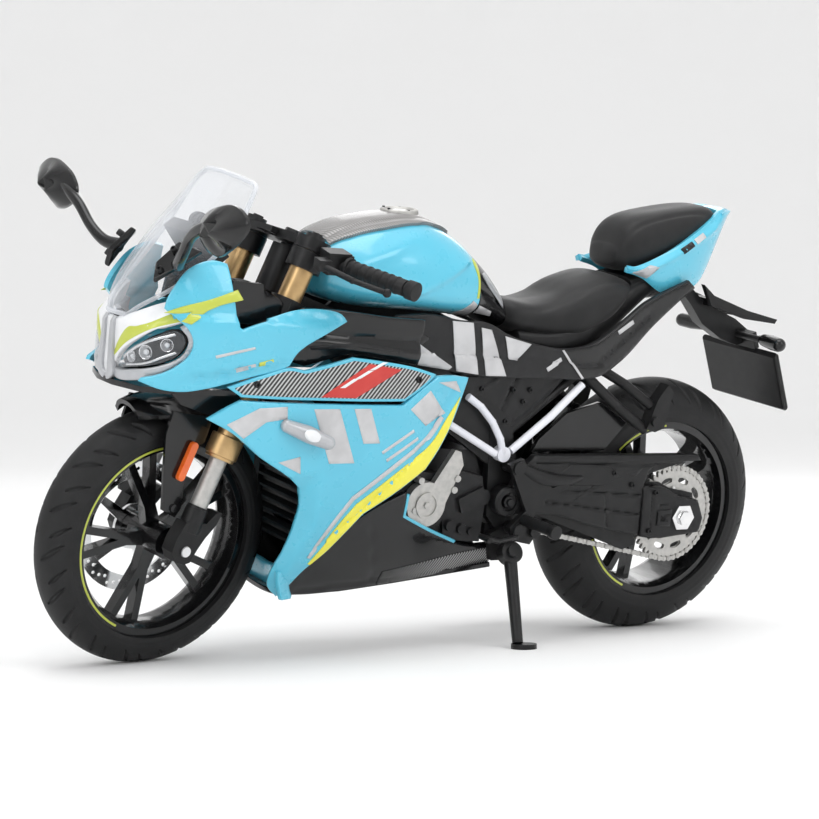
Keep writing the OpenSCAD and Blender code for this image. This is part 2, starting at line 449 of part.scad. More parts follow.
module rear_peg_brackets() color([0.05, 0.05, 0.05]) place() both() {
    pipe([[-32.2, 8.3, 55.2], [-34.0, 8.6, 53.6], [-38.6, 11.2, 49.4], [-45.6, 12.4, 44.8]], 1.1);
    pipe([[-35.0, 8.3, 57.6], [-36.8, 8.4, 55.9], [-40.2, 11.0, 53.8], [-46.2, 12.4, 49.8]], 1.0);
    side([[-44.6, 45.2], [-46.8, 44.6], [-49.0, 45.4], [-50.4, 52.8], [-48.9, 54.3], [-46.6, 51.2]], 11.5, 14.2);
    boss(-46.4, 46.8, 1.0, 14.1, 14.9);
}

// --- bodywork --------------------------------------------------------------
// nose: param a from the middle (0) to the headlight side (1)
function noseY(a) = 14.4 * a;
function noseX(a, z) = 68.7 - 8.6 * pw(a, 3.2) - (z > 64 ? 1.0 * (z - 64) : 0) * (1 - 0.45 * a) - (z < 56 ? 0.12 * (56 - z) : 0);
module nose_grid(z0, z1, a0, a1, n, m, t, out = 0) {
    O = [for (i = [0 : n]) [for (j = [0 : m]) let(a = mix(a0, a1, i / n), z = mix(mix(z1[0], z1[1], (a - a0) / (a1 - a0)), mix(z0[0], z0[1], (a - a0) / (a1 - a0)), j / m)) [noseX(abs(a), z) + out, sgn(a) * noseY(abs(a)), z]]];
    I = [for (r = O) [for (p = r) [p[0] - t, p[1] * 0.96, p[2]]]];
    shell_grid(O, I);
}
module nose_panel() color([0.93, 0.93, 0.93]) place() {
    nose_grid([56, 64.2], [64.2, 67.4], 0.1, 0.9, 8, 5, 1.1);
    mirror([0, 1, 0]) nose_grid([56, 64.2], [64.2, 67.4], 0.1, 0.9, 8, 5, 1.1);
    nose_grid([53.6, 53.6], [64.2, 64.2], -0.1, 0.1, 2, 5, 1.1);
}
module nose_trim() color([0.62, 0.62, 0.63]) place() {
    nose_grid([53.6, 53.6], [64.1, 64.1], -0.09, 0.09, 2, 5, 0.6, 0.75);
    both() nose_grid([54.4, 55.2], [55.5, 56.6], 0.105, 0.74, 6, 1, 1.2, 0.2);
}
module headlights() color([0.75, 0.78, 0.8]) place() both()
    nose_grid([56.1, 59.2], [56.9, 63.4], 0.3, 0.93, 8, 5, 1.6, 0.1);
module inner_cowl() color([0.05, 0.05, 0.05]) place() {
    plan([[69.0, -3], [69.0, 3], [66.8, 9.6], [61, 13], [50, 14.2], [50, 12.8], [60, 11.4], [62, 7], [62, -7], [60, -11.4], [50, -12.8], [50, -14.2], [61, -13], [66.8, -9.6]], 52.4, 53.4);
    both() side([[62, 52.6], [49.4, 53.4], [47.6, 50.8], [49.8, 48.9], [54, 48.6], [60, 50.6]], 11.8, 12.8);
    both() side([[52.8, 66], [51.6, 72.8], [45.6, 72.4], [44.4, 66]], 11.6, 12.6);
    both() translate([49.4, 9, 70.4]) cube([2.2, 3.0, 1.8]);
}
upA = [[67.6, 55.2], [65.4, 55.9], [62.6, 57.6], [60.6, 60.4], [61.0, 63.6], [64.4, 67.6], [64.0, 70.2], [60.6, 74.6], [56.2, 76.2], [53.4, 76.0], [51.4, 69.6], [49.4, 66.6], [45, 67.6], [40, 68.4], [34, 68.2], [31, 67.4]];
upB = [[66.9, 53.8], [64.6, 53.4], [61, 53.4], [57.4, 54.0], [54, 54.9], [51.6, 55.6], [50.6, 55.9], [49.6, 56.2], [48.6, 56.4], [47, 56.7], [45, 57.1], [43, 57.6], [41.6, 58.4], [40.0, 60.6], [35, 63.9], [30.6, 66.2]];
module upper_half() skin(upA, upB, 7);
module upper_fairing_left() color([0.32, 0.76, 0.87]) place() upper_half();
module upper_fairing_right() color([0.32, 0.76, 0.87]) place() mirror([0, 1, 0]) upper_half();
insA = [[53.6, 54.5], [46, 56.5], [41.4, 57.8], [36.4, 57.5], [27.4, 60.2], [17, 58.8], [10, 57.2]];
insB = [[53.2, 54.2], [51.0, 52.4], [42, 52.2], [34, 52.0], [26, 51.8], [19.6, 51.6], [16.4, 51.7]];
module insert_panels() color([0.5, 0.52, 0.52]) place() both() skin(insA, insB, 3, 0.8, 0.3);
loA = [[56, 48.9], [50.8, 52.0], [44, 51.8], [38, 51.7], [33, 51.5], [29, 51.4], [25, 51.3], [21, 51.2], [18, 51.1], [16.4, 51.2], [12.6, 54.2], [9.9, 56.8], [5.6, 56.4], [2.0, 56.0]];
loB = [[55.4, 48.5], [51.4, 46.2], [45.8, 41.8], [39.6, 38.2], [36.0, 35.1], [35.2, 29.2], [36.2, 22.4], [36.8, 17.6], [35.0, 13.2], [32.4, 18.3], [28, 22.8], [22.5, 30.2], [9.6, 38.7], [4.9, 46.6]];
module lower_half() {
    skin(loA, loB, 9);
    // chin that wraps under the radiator
    O = [for (i = [0 : 6]) [for (j = [0 : 3]) let(a = [0, 0.04, 0.1, 0.2, 0.4, 0.7, 1][i], y = 10.6 * (1 - a) , z = mix(18.8, 12.4, j / 3)) [36.6 - 4.3 * pw(a, 0.25) - 1.4 * pw(j / 3, 2), y + 0.15, z - 0.8 * a]]];
    I = [for (r = O) [for (p = r) [p[0] - 1.1, p[1], p[2] + 0.1]]];
    shell_grid(I, O);
}
module lower_fairing_left() color([0.32, 0.76, 0.87]) place() lower_half();
module lower_fairing_right() color([0.32, 0.76, 0.87]) place() mirror([0, 1, 0]) lower_half();
module belly_pan() color([0.07, 0.07, 0.07]) place() {
    both() skin([[31.0, 19.6], [25, 25.6], [19, 30.6], [12.4, 33.6], [11.8, 28.8], [4.8, 26], [-2.8, 22.6], [-8, 21.4], [-14.6, 21.4]],
        [[30.4, 13.0], [27, 12.8], [20, 13.1], [14, 13.6], [8, 14.1], [2, 14.7], [-4, 15.3], [-9.6, 15.9], [-15.0, 16.4]], 4, 1.1, 1.2);
    plan([[29.4, -8.0], [29.4, 8.0], [-14.8, 7.2], [-14.8, -7.2]], 15.1, 16.1);
}
// windscreen rows from the bottom edge up: height, front x, half width, sweep back at the edge
wsr = [[65.0, 68.9, 3.4, 0.8], [67.5, 68.5, 6.2, 2.4], [70.5, 67.2, 9.0, 4.6], [73.5, 65.4, 10.8, 6.3], [76.5, 63.2, 11.4, 6.6],
    [80, 60.4, 12.7, 6.8], [84, 56.8, 12.4, 5.4], [88, 53.2, 11.8, 3.6], [90.4, 51.2, 11.2, 2.7], [91.4, 50.4, 9.6, 2.2]];
function ws(i, b) = let(w = wsr[i]) [w[1] - w[3] * pw(abs(b), 2.2), w[2] * b, w[0] - (i > 3 ? 1.4 * (i - 3) / 6 * pw(abs(b), 2) : 0)];
module windscreen() color([0.85, 0.88, 0.95, 0.45]) place() {
    O = [for (i = [0 : 9]) [for (j = [0 : 10]) ws(i, j / 5 - 1)]];
    I = [for (r = O) [for (p = r) [p[0] - 1.0, p[1] * 0.93, p[2] - 0.5]]];
    shell_grid(O, I);
}
module dashboard() color([0.06, 0.06, 0.06]) place() translate([53.4, 0, 78]) rotate([0, 38, 0]) {
    translate([-1.6, -7.4, -3.4]) cube([2.6, 14.8, 6.6]);
    translate([-2.0, -6.2, -2.6]) cube([0.6, 12.4, 5.0]);
    translate([0.8, -3, -9]) cube([1.6, 6, 9]);
}
module mirrors() color([0.09, 0.09, 0.09]) place() both() {
    hull() {
        translate([65.3, 40.4, 86.2]) sphere(r = 0.7, $fn = 12);
        translate([66.2, 35.4, 87.9]) sphere(r = 0.7, $fn = 12);
        translate([66.0, 26.4, 85.4]) sphere(r = 0.7, $fn = 12);
        translate([65.4, 24.8, 83.2]) sphere(r = 0.7, $fn = 12);
        translate([65.0, 31.3, 79.9]) sphere(r = 0.7, $fn = 12);
        translate([65.0, 38.4, 83.4]) sphere(r = 0.7, $fn = 12);
        translate([68.6, 31.0, 84.2]) sphere(r = 0.6, $fn = 12);
    }
    pipe([[65.8, 26.0, 83.0], [66.0, 22.4, 81.6], [65.4, 18.6, 78.2], [64.2, 14.8, 75.6], [63.0, 11.8, 75.6]], 1.1);
    hull() {
        translate([61.0, 8.6, 78.0]) rotate([0, 50, 20]) cylinder(h = 1, r = 0.9, $fn = 16);
        translate([64.8, 9.2, 74.6]) rotate([0, 50, 20]) cylinder(h = 1, r = 0.9, $fn = 16);
        translate([64.4, 9.3, 71.8]) rotate([0, 50, 20]) cylinder(h = 1, r = 0.9, $fn = 16);
        translate([58.6, 12.6, 77.4]) rotate([0, 50, 20]) cylinder(h = 1, r = 0.9, $fn = 16);
    }
}
module front_indicators() color([0.78, 0.78, 0.78]) place() both() hull() {
    translate([41.4, 18.4, 47.8]) sphere(r = 1.2, $fn = 16);
    translate([37.4, 19.4, 46.4]) sphere(r = 1.6, $fn = 16);
    translate([33.6, 20.2, 45.0]) sphere(r = 1.3, $fn = 16);
}
module air_ducts() color([0.05, 0.05, 0.05]) place() both()
    side([[41.2, 60.6], [39.6, 58.9], [36.4, 57.9], [27.4, 60.4], [12, 58.2], [11.2, 66.8], [20, 67.0], [34, 67.6], [31, 66.2], [35, 63.6]], 13.4, 15.0);
module side_covers() color([0.09, 0.09, 0.09]) place() both() {
    A = [[15.4, 67.2], [8, 67.2], [1, 66], [-5, 66], [-10.2, 63.4], [-16, 62], [-24, 60.8], [-32, 62.2], [-38, 66.2], [-44, 70.6], [-54, 74.6]];
    B = [[26, 58.6], [14, 58.0], [4, 56.6], [-6, 55.4], [-13, 55.2], [-20, 55.1], [-27, 55.0], [-33, 55.6], [-38.6, 58.6], [-46, 65.6], [-55, 72.8]];
    O = [for (i = [0 : len(A) - 1]) [for (j = [0 : 4]) let(p = mix(A[i], B[i], j / 4)) [p[0], yT(p[0]) + 0.5 * sin(180 * j / 4), p[1]]]];
    shell_grid(O, [for (r = O) [for (p = r) p - [0, 1.1, 0]]]);
}
// tank outline: x, bottom, top, half width, height of the widest point
tk = [[30.6, 70.6, 77.4, 7.0, 73.0], [29.4, 69.3, 79.6, 9.0, 72.8], [25, 68.0, 82.0, 11.2, 72.4], [18, 67.2, 83.8, 12.2, 72.0],
    [10, 66.9, 84.6, 12.5, 71.8], [4.4, 66.5, 83.2, 12.2, 71.4], [0, 66.2, 81.2, 11.4, 71.0], [-3, 66.0, 79.0, 10.6, 70.6], [-6.8, 64.8, 76.2, 8.8, 69.4], [-10, 64.0, 73.2, 7.2, 68.4], [-12.8, 63.6, 70.0, 6.0, 66.6]];
function tkr(s) = ring(s[0], s[1], s[2], s[3] * tank_half / 12.5, s[4], 2.3);
module tank() color([0.32, 0.76, 0.87]) place() loft([for (i = [0 : 7]) tkr(tk[i])]);
module tank_rear_cover() color([0.08, 0.08, 0.08]) place() loft([for (i = [7 : 10]) tkr(tk[i] - [i == 7 ? 0.05 : 0, 0, 0, 0, 0])]);
function tt(i, b) = let(s = tk[i], wc = [5.6, 6.2, 7.2, 7.4, 6.8, 4.6, 1.6][i], y = wc * b, c = abs(y) / (s[3] * tank_half / 12.5))
        [s[0], y, s[4] + (s[2] - s[4]) * pw(1 - pw(c, 2.3), 1 / 2.3)];
module tank_top_cover() color([0.42, 0.41, 0.4]) place() {
    O = [for (i = [1 : 6]) [for (j = [0 : 8]) tt(i, j / 4 - 1) + [0, 0, 0.8]]];
    I = [for (i = [1 : 6]) [for (j = [0 : 8]) tt(i, j / 4 - 1) + [0, 0, 0.1]]];
    difference() {
        shell_grid(O, I);
        translate([10.4, 0, 80]) rotate([0, 3, 0]) cylinder(h = 8, r = 4.0);
    }
}
module fuel_cap() color([0.55, 0.55, 0.55]) place() translate([10.4, 0, 84.75]) rotate([0, 3, 0]) {
    difference() { cylinder(h = 0.9, r = 3.7); translate([0, 0, 0.6]) cylinder(h = 1, r = 2.7); }
    translate([0, 0, 0.5]) cylinder(h = 0.5, r = 1.5);
    translate([-1.4, -0.5, 0.8]) cube([2.8, 1, 0.5]);
    for (i = [0 : 4]) rotate([0, 0, 72 * i]) translate([3.2, 0, 0.8]) cylinder(h = 0.25, r = 0.3, $fn = 16);
}
module rider_seat() color([0.07, 0.07, 0.07]) place() loft([
    ring(-13.1, 63.6, 69.8, 5.6, 66, 2.6), ring(-15.4, 62.8, 69.4, 6.8, 65.6, 2.6), ring(-20, 62.0, 69.2, 7.8, 65.6, 2.6), ring(-25, 61.4, 70.6, 9.2, 65.8, 2.6),
    ring(-30, 61.8, 73.4, 9.8, 67, 2.6), ring(-35, 63.8, 74.7, 9.6, 69, 2.6), ring(-39, 66.8, 74.8, 8.8, 71, 2.6), ring(-42, 69.8, 74.2, 7.4, 72, 2.6)]);
module pillion_seat() color([0.07, 0.07, 0.07]) place() loft([
    ring(-39.4, 75.4, 82.2, 4.8, 79, 3), ring(-40.8, 75.2, 84.8, 5.8, 79.4, 3), ring(-44, 75.6, 86.6, 6.8, 80, 3), ring(-50, 77.6, 88.2, 7.1, 82.4, 3),
    ring(-57, 80.6, 89.2, 6.0, 85.0, 3), ring(-62, 83.8, 89.5, 4.6, 86.8, 3), ring(-64.3, 85.6, 88.6, 3.2, 87.0, 3)]);
cowlA = [[-39.2, 77.0], [-42, 77.4], [-47, 79.4], [-52, 81.8], [-57.4, 84.8], [-61.6, 87.2], [-65.4, 89.2], [-69.8, 88.9]];
cowlB = [[-39.6, 75.9], [-43.8, 74.8], [-48.6, 72.2], [-52.6, 71.6], [-57.2, 72.8], [-61.0, 74.8], [-64.8, 80.4], [-69.6, 87.4]];
cowlW = [8.9, 9.4, 9.5, 9.2, 8.4, 7.2, 5.6, 2.2];
module tail_cowl() color([0.32, 0.76, 0.87]) place() {
    O = [for (i = [0 : 7]) [for (j = [0 : 5]) let(p = mix(cowlA[i], cowlB[i], j / 5)) [p[0], cowlW[i] - (j == 0 ? 1.0 : 0) - 1.6 * pw(j / 5, 2), p[1]]]];
    both() shell_grid(O, [for (r = O) [for (p = r) [p[0], p[1] - 1.0, p[2]]]]);
    T = [for (i = [0 : 3]) [for (j = [0 : 6]) let(w = [5.8, 4.4, 3.0, 1.4][i], b = j / 3 - 1) [-64.6 - 1.8 * i, w * b, [88.9, 89.2, 89.1, 88.8][i] - 0.6 * b * b]]];
    shell_grid(T, [for (r = T) [for (p = r) p - [0, 0, 1.6]]]);
}
module undertail() color([0.06, 0.06, 0.06]) place() {
    loft([ring(-42.3, 69.8, 74.7, 6.8, 72, 4), ring(-50, 70.4, 76.6, 6.6, 73.4, 4), ring(-58.4, 72.6, 80.4, 4.9, 76.4, 4), ring(-64.2, 76.4, 84.6, 2.6, 80.6, 4)]);
}
module tail_light() color([0.55, 0.05, 0.05]) place() loft([ring(-64.3, 79.6, 84.6, 2.6, 82.2, 3), ring(-66.0, 81.8, 85.8, 2.0, 84.0, 3), ring(-67.4, 84.0, 86.4, 1.0, 85.3, 3)]);
module plate_holder() color([0.05, 0.05, 0.05]) place() {
    side([[-60.6, 73.8], [-62.6, 72.2], [-66.6, 69.2], [-75.4, 66.0], [-79.4, 63.6], [-80.2, 61.4], [-76.6, 60.4], [-72.2, 61.6], [-66.4, 64.8], [-62.6, 69.0], [-58.6, 72.3]], -1.6, 1.6);
    both() side([[-63.4, 73.4], [-66.4, 71.2], [-76, 68.2], [-84.6, 66.4], [-84.0, 65.5], [-75.4, 66.4], [-66, 69.0]], 3.2, 4.4);
    translate([-68.6, -4.4, 68.9]) cube([2.6, 8.8, 1.4]);
    translate([-79.6, -5.4, 60.6]) rotate([0, 22, 0]) cube([1.2, 10.8, 3.6]);
    both() bar([-76.4, 1.4, 62.9], [-76.0, 9.4, 62.9], 0.7);
}
module number_plate() color([0.08, 0.08, 0.08]) place() {
    // plain plate, top edge to bottom edge
    hull() for (y = [-11.2, 11.2]) { translate([-79.0, y, 59.8]) rotate([0, 68, 0]) cylinder(h = 0.8, r = 0.6, center = true, $fn = 16); translate([-83.5, y, 48.9]) rotate([0, 68, 0]) cylinder(h = 0.8, r = 0.6, center = true, $fn = 16); }
    both() translate([-81.6, 6.4, 54.8]) rotate([0, 68, 0]) cylinder(h = 1.4, r = 0.9, center = true);
}
module rear_indicators() color([0.06, 0.06, 0.06]) place() both() {
    hull() { translate([-76.6, 10.0, 62.9]) sphere(r = 1.25, $fn = 20); translate([-75.6, 15.6, 62.9]) sphere(r = 1.45, $fn = 20); translate([-76.2, 13, 62.9]) scale(1.0) sphere(r = 1.55, $fn = 20); }
    bar([-76.6, 8.4, 62.9], [-76.5, 10.2, 62.9], 0.8);
}

main_frame();
frame_tubes();
engine();
engine_cover();
radiator();
exhaust();
nose_panel();
nose_trim();
headlights();
upper_fairing_left();
upper_fairing_right();
inner_cowl();
windscreen();
dashboard();
mirrors();
insert_panels();
lower_fairing_left();
lower_fairing_right();
belly_pan();
front_indicators();
air_ducts();
side_covers();
tank();
tank_top_cover();
fuel_cap();
tank_rear_cover();
rider_seat();
pillion_seat();
tail_cowl();
undertail();
plate_holder();
number_plate();
tail_light();
rear_indicators();
rearsets();
rear_peg_brackets();
top_clamp();
bottom_clamp();
fork_outer_tubes();
clip_on_bars();
grips();
hand_levers();
fork_inner_tubes();
fork_feet();
front_axle();
front_fender();
reflectors();
front_caliper();
front_tyre();
front_rim();
front_disc();
swingarm();
chain_and_sprocket();
rear_axle();
rear_hugger();
rear_tyre();
rear_rim();
shock_body();
shock_rod();
side_stand();
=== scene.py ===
import json
import math
import bpy
import bmesh
import numpy as np
from mathutils import Matrix, Vector
from mathutils.geometry import delaunay_2d_cdt


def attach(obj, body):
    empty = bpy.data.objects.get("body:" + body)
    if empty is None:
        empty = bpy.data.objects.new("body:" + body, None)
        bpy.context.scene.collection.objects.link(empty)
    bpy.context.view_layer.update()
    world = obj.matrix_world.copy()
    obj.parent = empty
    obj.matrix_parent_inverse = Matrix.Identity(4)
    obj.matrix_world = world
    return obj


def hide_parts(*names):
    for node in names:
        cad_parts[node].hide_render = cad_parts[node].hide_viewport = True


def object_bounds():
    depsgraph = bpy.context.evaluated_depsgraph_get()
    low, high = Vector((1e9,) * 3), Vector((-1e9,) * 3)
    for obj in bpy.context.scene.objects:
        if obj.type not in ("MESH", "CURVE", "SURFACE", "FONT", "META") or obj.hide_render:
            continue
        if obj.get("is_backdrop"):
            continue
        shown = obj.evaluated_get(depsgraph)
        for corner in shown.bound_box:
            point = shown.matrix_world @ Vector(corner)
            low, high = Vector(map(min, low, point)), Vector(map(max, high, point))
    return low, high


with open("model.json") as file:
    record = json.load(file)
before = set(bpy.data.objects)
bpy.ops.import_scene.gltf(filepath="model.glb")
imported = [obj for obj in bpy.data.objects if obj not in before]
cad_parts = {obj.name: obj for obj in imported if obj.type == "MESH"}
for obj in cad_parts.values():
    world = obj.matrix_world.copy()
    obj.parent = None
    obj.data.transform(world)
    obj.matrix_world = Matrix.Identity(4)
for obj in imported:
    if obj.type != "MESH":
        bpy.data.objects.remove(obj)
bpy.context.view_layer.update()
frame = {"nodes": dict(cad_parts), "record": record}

MM = 0.001
rad = math.radians

# ---------------------------------------------------------------- placing
LEAN, TURN, RAKE = rad(10.8), rad(8.7), rad(21.2)
SHIFT = Vector((1.8, -16.15, 0.12))
FX, FZ, RX, RZ = 57.1, 23.95, -57.1, 26.6
FR, RR = 24.14, 26.6
UP = Vector((-math.sin(RAKE), 0, math.cos(RAKE)))
FWD = Vector((math.cos(RAKE), 0, math.sin(RAKE)))
STEM0 = Vector((FX, 0, FZ)) - 2.2 * FWD
PLACE_MM = Matrix.Translation(SHIFT) @ Matrix.Rotation(-LEAN, 4, "X")
STEER_MM = PLACE_MM @ Matrix.Translation(STEM0) @ Matrix.Rotation(TURN, 4, UP) @ Matrix.Translation(-STEM0)


def metric(m):
    m = m.copy()
    m.translation = m.translation * MM
    return m


PLACE, STEER = metric(PLACE_MM), metric(STEER_MM)
BODY = {n: b for b, ns in frame["record"]["behaviour"]["bodies"].items() for n in ns}
STEERED = {"steering", "fork_lower", "front_wheel"}
SLOT = {s["node"]: s["material_slot"] for s in frame["record"]["subparts"]}


def place_of(body):
    return (STEER, STEER_MM) if body in STEERED else (PLACE, PLACE_MM)


# ---------------------------------------------------------------- materials
def nodes_of(name):
    m = bpy.data.materials.new(name)
    m.use_nodes = True
    nt = m.node_tree
    return m, nt, nt.nodes["Principled BSDF"]


def add(nt, kind, **kw):
    n = nt.nodes.new(kind)
    for k, v in kw.items():
        setattr(n, k, v)
    return n


def setv(node, name, v):
    if name in node.inputs:
        node.inputs[name].default_value = v


def rgba(c):
    return (c[0], c[1], c[2], 1.0)


def coords(nt, scale=1.0, rot=(0, 0, 0)):
    """Object coordinates in millimetres."""
    tc = add(nt, "ShaderNodeTexCoord")
    mp = add(nt, "ShaderNodeMapping")
    mp.inputs["Scale"].default_value = (1000 * scale,) * 3
    mp.inputs["Rotation"].default_value = rot
    nt.links.new(tc.outputs["Object"], mp.inputs["Vector"])
    return mp.outputs["Vector"]


def noise(nt, vec, scale, detail=3, rough=0.5):
    n = add(nt, "ShaderNodeTexNoise")
    n.inputs["Scale"].default_value = scale
    n.inputs["Detail"].default_value = detail
    n.inputs["Roughness"].default_value = rough
    nt.links.new(vec, n.inputs["Vector"])
    return n.outputs["Fac"]


def maprange(nt, val, a, b, c, d):
    n = add(nt, "ShaderNodeMapRange")
    for i, v in zip((1, 2, 3, 4), (a, b, c, d)):
        n.inputs[i].default_value = v
    nt.links.new(val, n.inputs[0])
    return n.outputs[0]


def mixc(nt, fac, a, b):
    n = add(nt, "ShaderNodeMix", data_type="RGBA")
    if hasattr(fac, "type") and not isinstance(fac, (int, float)):
        nt.links.new(fac, n.inputs[0])
    else:
        n.inputs[0].default_value = fac
    for k, v in ((6, a), (7, b)):
        if isinstance(v, (tuple, list)):
            n.inputs[k].default_value = rgba(v)
        else:
            nt.links.new(v, n.inputs[k])
    return n.outputs[2]


def mth(nt, op, a, b=None, c=None, clamp=False):
    n = add(nt, "ShaderNodeMath", operation=op, use_clamp=clamp)
    for i, v in enumerate((a, b, c)):
        if v is None:
            continue
        if isinstance(v, (int, float)):
            n.inputs[i].default_value = v
        else:
            nt.links.new(v, n.inputs[i])
    return n.outputs[0]


def bumpit(nt, bsdf, height, strength=0.2, dist=0.05):
    b = add(nt, "ShaderNodeBump")
    b.inputs["Strength"].default_value = strength
    b.inputs["Distance"].default_value = dist * MM
    nt.links.new(height, b.inputs["Height"])
    nt.links.new(b.outputs["Normal"], bsdf.inputs["Normal"])


def plain(name, c, c2=None, rough=0.4, r2=None, metal=0.0, spec=0.5, coat=0.0, coat_rough=0.05, scale=0.6, fine=6.0, bump=0.08, bdist=0.04, sheen=0.0, blotch=(0.35, 0.65)):
    m, nt, b = nodes_of(name)
    v = coords(nt)
    big = noise(nt, v, scale, 3)
    small = noise(nt, v, fine, 2)
    c2 = c2 or tuple(min(1, x * 1.12 + 0.004) for x in c)
    f = maprange(nt, big, blotch[0], blotch[1], 0, 1)
    nt.links.new(mixc(nt, f, c, c2), b.inputs["Base Color"])
    nt.links.new(maprange(nt, small, 0.3, 0.7, rough, rough * 1.15 + 0.02 if r2 is None else r2), b.inputs["Roughness"])
    setv(b, "Metallic", metal)
    setv(b, "Specular IOR Level", spec)
    setv(b, "Coat Weight", coat)
    setv(b, "Coat Roughness", coat_rough)
    setv(b, "Sheen Weight", sheen)
    if bump:
        bumpit(nt, b, small, bump, bdist)
    m.diffuse_color = rgba(c)
    return m


M = {}
M["cyan"] = plain("cyan_paint", (0.088, 0.50, 0.68), (0.098, 0.53, 0.71), rough=0.26, coat=0.7, coat_rough=0.06, scale=0.05, fine=0.5, bump=0.0)
M["white"] = plain("white_paint", (0.80, 0.81, 0.83), (0.84, 0.85, 0.86), rough=0.28, coat=0.6, scale=0.1, fine=0.6, bump=0.03)
M["lime"] = plain("yellow_green_paint", (0.50, 0.56, 0.06), (0.54, 0.60, 0.08), rough=0.3, coat=0.5, scale=0.2, bump=0.02)
M["yellow"] = plain("yellow_paint", (0.80, 0.74, 0.05), (0.84, 0.78, 0.07), rough=0.3, coat=0.5, scale=0.2, bump=0.02)
M["silver"] = plain("silver_print", (0.50, 0.50, 0.51), (0.58, 0.58, 0.59), rough=0.34, metal=0.35, scale=0.3, fine=9, bump=0.04)
M["grey"] = plain("silver_grey_paint", (0.42, 0.43, 0.45), (0.48, 0.49, 0.51), rough=0.3, metal=0.3, coat=0.4, scale=0.2, bump=0.03)
M["red"] = plain("red_print", (0.55, 0.035, 0.03), (0.60, 0.05, 0.04), rough=0.4, scale=0.2, bump=0.02)
M["gloss"] = plain("black_gloss", (0.004, 0.004, 0.0045), (0.007, 0.007, 0.0075), rough=0.16, r2=0.22, coat=0.3, scale=0.3, fine=1.2, bump=0.04, spec=0.32)
M["satin"] = plain("black_satin", (0.006, 0.006, 0.0065), (0.01, 0.01, 0.0105), rough=0.36, r2=0.46, scale=0.5, fine=7, bump=0.12, bdist=0.05, spec=0.32)
M["satin2"] = plain("charcoal_satin", (0.012, 0.012, 0.013), (0.018, 0.018, 0.019), rough=0.40, r2=0.5, scale=0.5, fine=8, bump=0.14, bdist=0.05, spec=0.32)
M["engine"] = plain("engine_black", (0.007, 0.007, 0.0075), (0.012, 0.012, 0.013), rough=0.34, r2=0.45, scale=0.6, fine=5, bump=0.2, bdist=0.06, spec=0.32)
M["metal"] = plain("blasted_metal", (0.46, 0.455, 0.44), (0.54, 0.53, 0.51), rough=0.42, r2=0.55, metal=0.85, scale=1.0, fine=9, bump=0.35, bdist=0.06)
M["steel"] = plain("machined_steel", (0.55, 0.55, 0.55), (0.66, 0.66, 0.66), rough=0.24, r2=0.34, metal=1.0, scale=0.8, fine=9, bump=0.08)
M["chrome"] = plain("polished_metal", (0.72, 0.72, 0.73), (0.8, 0.8, 0.8), rough=0.10, r2=0.16, metal=1.0, scale=0.6, fine=4, bump=0.02)
M["gold"] = plain("bronze_gold", (0.50, 0.33, 0.155), (0.58, 0.39, 0.19), rough=0.30, r2=0.38, metal=0.9, scale=0.5, fine=8, bump=0.06)
M["rubber"] = plain("tyre_rubber", (0.008, 0.008, 0.0085), (0.012, 0.012, 0.0125), rough=0.50, r2=0.62, scale=0.25, fine=5, bump=0.14, bdist=0.06, spec=0.32)
M["grip"] = plain("grip_rubber", (0.007, 0.007, 0.0075), (0.011, 0.011, 0.0115), rough=0.5, r2=0.6, scale=0.4, fine=8, bump=0.2, spec=0.32)
M["rim"] = plain("rim_black", (0.003, 0.003, 0.0035), (0.005, 0.005, 0.0055), rough=0.17, r2=0.24, coat=0.5, scale=0.3, fine=2, bump=0.03, spec=0.32)
M["tube"] = plain("white_tube_paint", (0.76, 0.77, 0.83), (0.80, 0.81, 0.86), rough=0.28, coat=0.4, scale=0.3, fine=3, bump=0.04)
M["orange"] = plain("orange_reflector", (0.80, 0.12, 0.012), (0.86, 0.16, 0.02), rough=0.3, coat=0.4, scale=0.5, fine=4, bump=0.1)
M["seat"] = plain("seat_black", (0.006, 0.006, 0.0065), (0.01, 0.01, 0.0105), rough=0.48, r2=0.58, scale=0.3, fine=7, bump=0.22, bdist=0.05, sheen=0.1, spec=0.32)
M["red_lens"] = plain("dark_red_lens", (0.14, 0.006, 0.006), (0.19, 0.01, 0.01), rough=0.12, coat=0.6, scale=0.5, fine=5, bump=0.05)
M["mirror"] = plain("mirror_glass", (0.72, 0.74, 0.77), (0.76, 0.78, 0.81), rough=0.04, r2=0.07, metal=1.0, scale=0.2, fine=0.8, bump=0.0)
M["dark"] = plain("housing_black", (0.006, 0.006, 0.0065), (0.01, 0.01, 0.011), rough=0.3, scale=0.4, fine=5, bump=0.08, spec=0.32)
M["screen"] = plain("clear_plastic", (0.9, 0.92, 0.95), rough=0.05)
M["lens"] = plain("clear_lens", (0.9, 0.92, 0.95), rough=0.05)
M["carbon"] = plain("carbon_look", (0.2, 0.2, 0.2), rough=0.3)

NODE_MAT = dict(cyan_paint="cyan", black_gloss="gloss", black_satin="satin", white_gloss="white", grey_gloss="grey", clear_plastic="screen",
                lamp_lens="lens", carbon_look="carbon", seat_black="seat", silver_metal="metal", bright_metal="chrome", gold_metal="gold",
                tyre_rubber="rubber", grip_rubber="grip", rim_black="rim", white_tube="tube", orange_reflector="orange", tail_lens="red_lens", engine_black="engine")


# ---------------------------------------------------------------- mesh helpers (all in mm until the end)
def bake(o):
    dg = bpy.context.evaluated_depsgraph_get()
    me = bpy.data.meshes.new_from_object(o.evaluated_get(dg))
    o.modifiers.clear()
    old = o.data
    o.data = me
    bpy.data.meshes.remove(old)


def link(name, me):
    o = bpy.data.objects.new(name, me)
    bpy.context.scene.collection.objects.link(o)
    return o


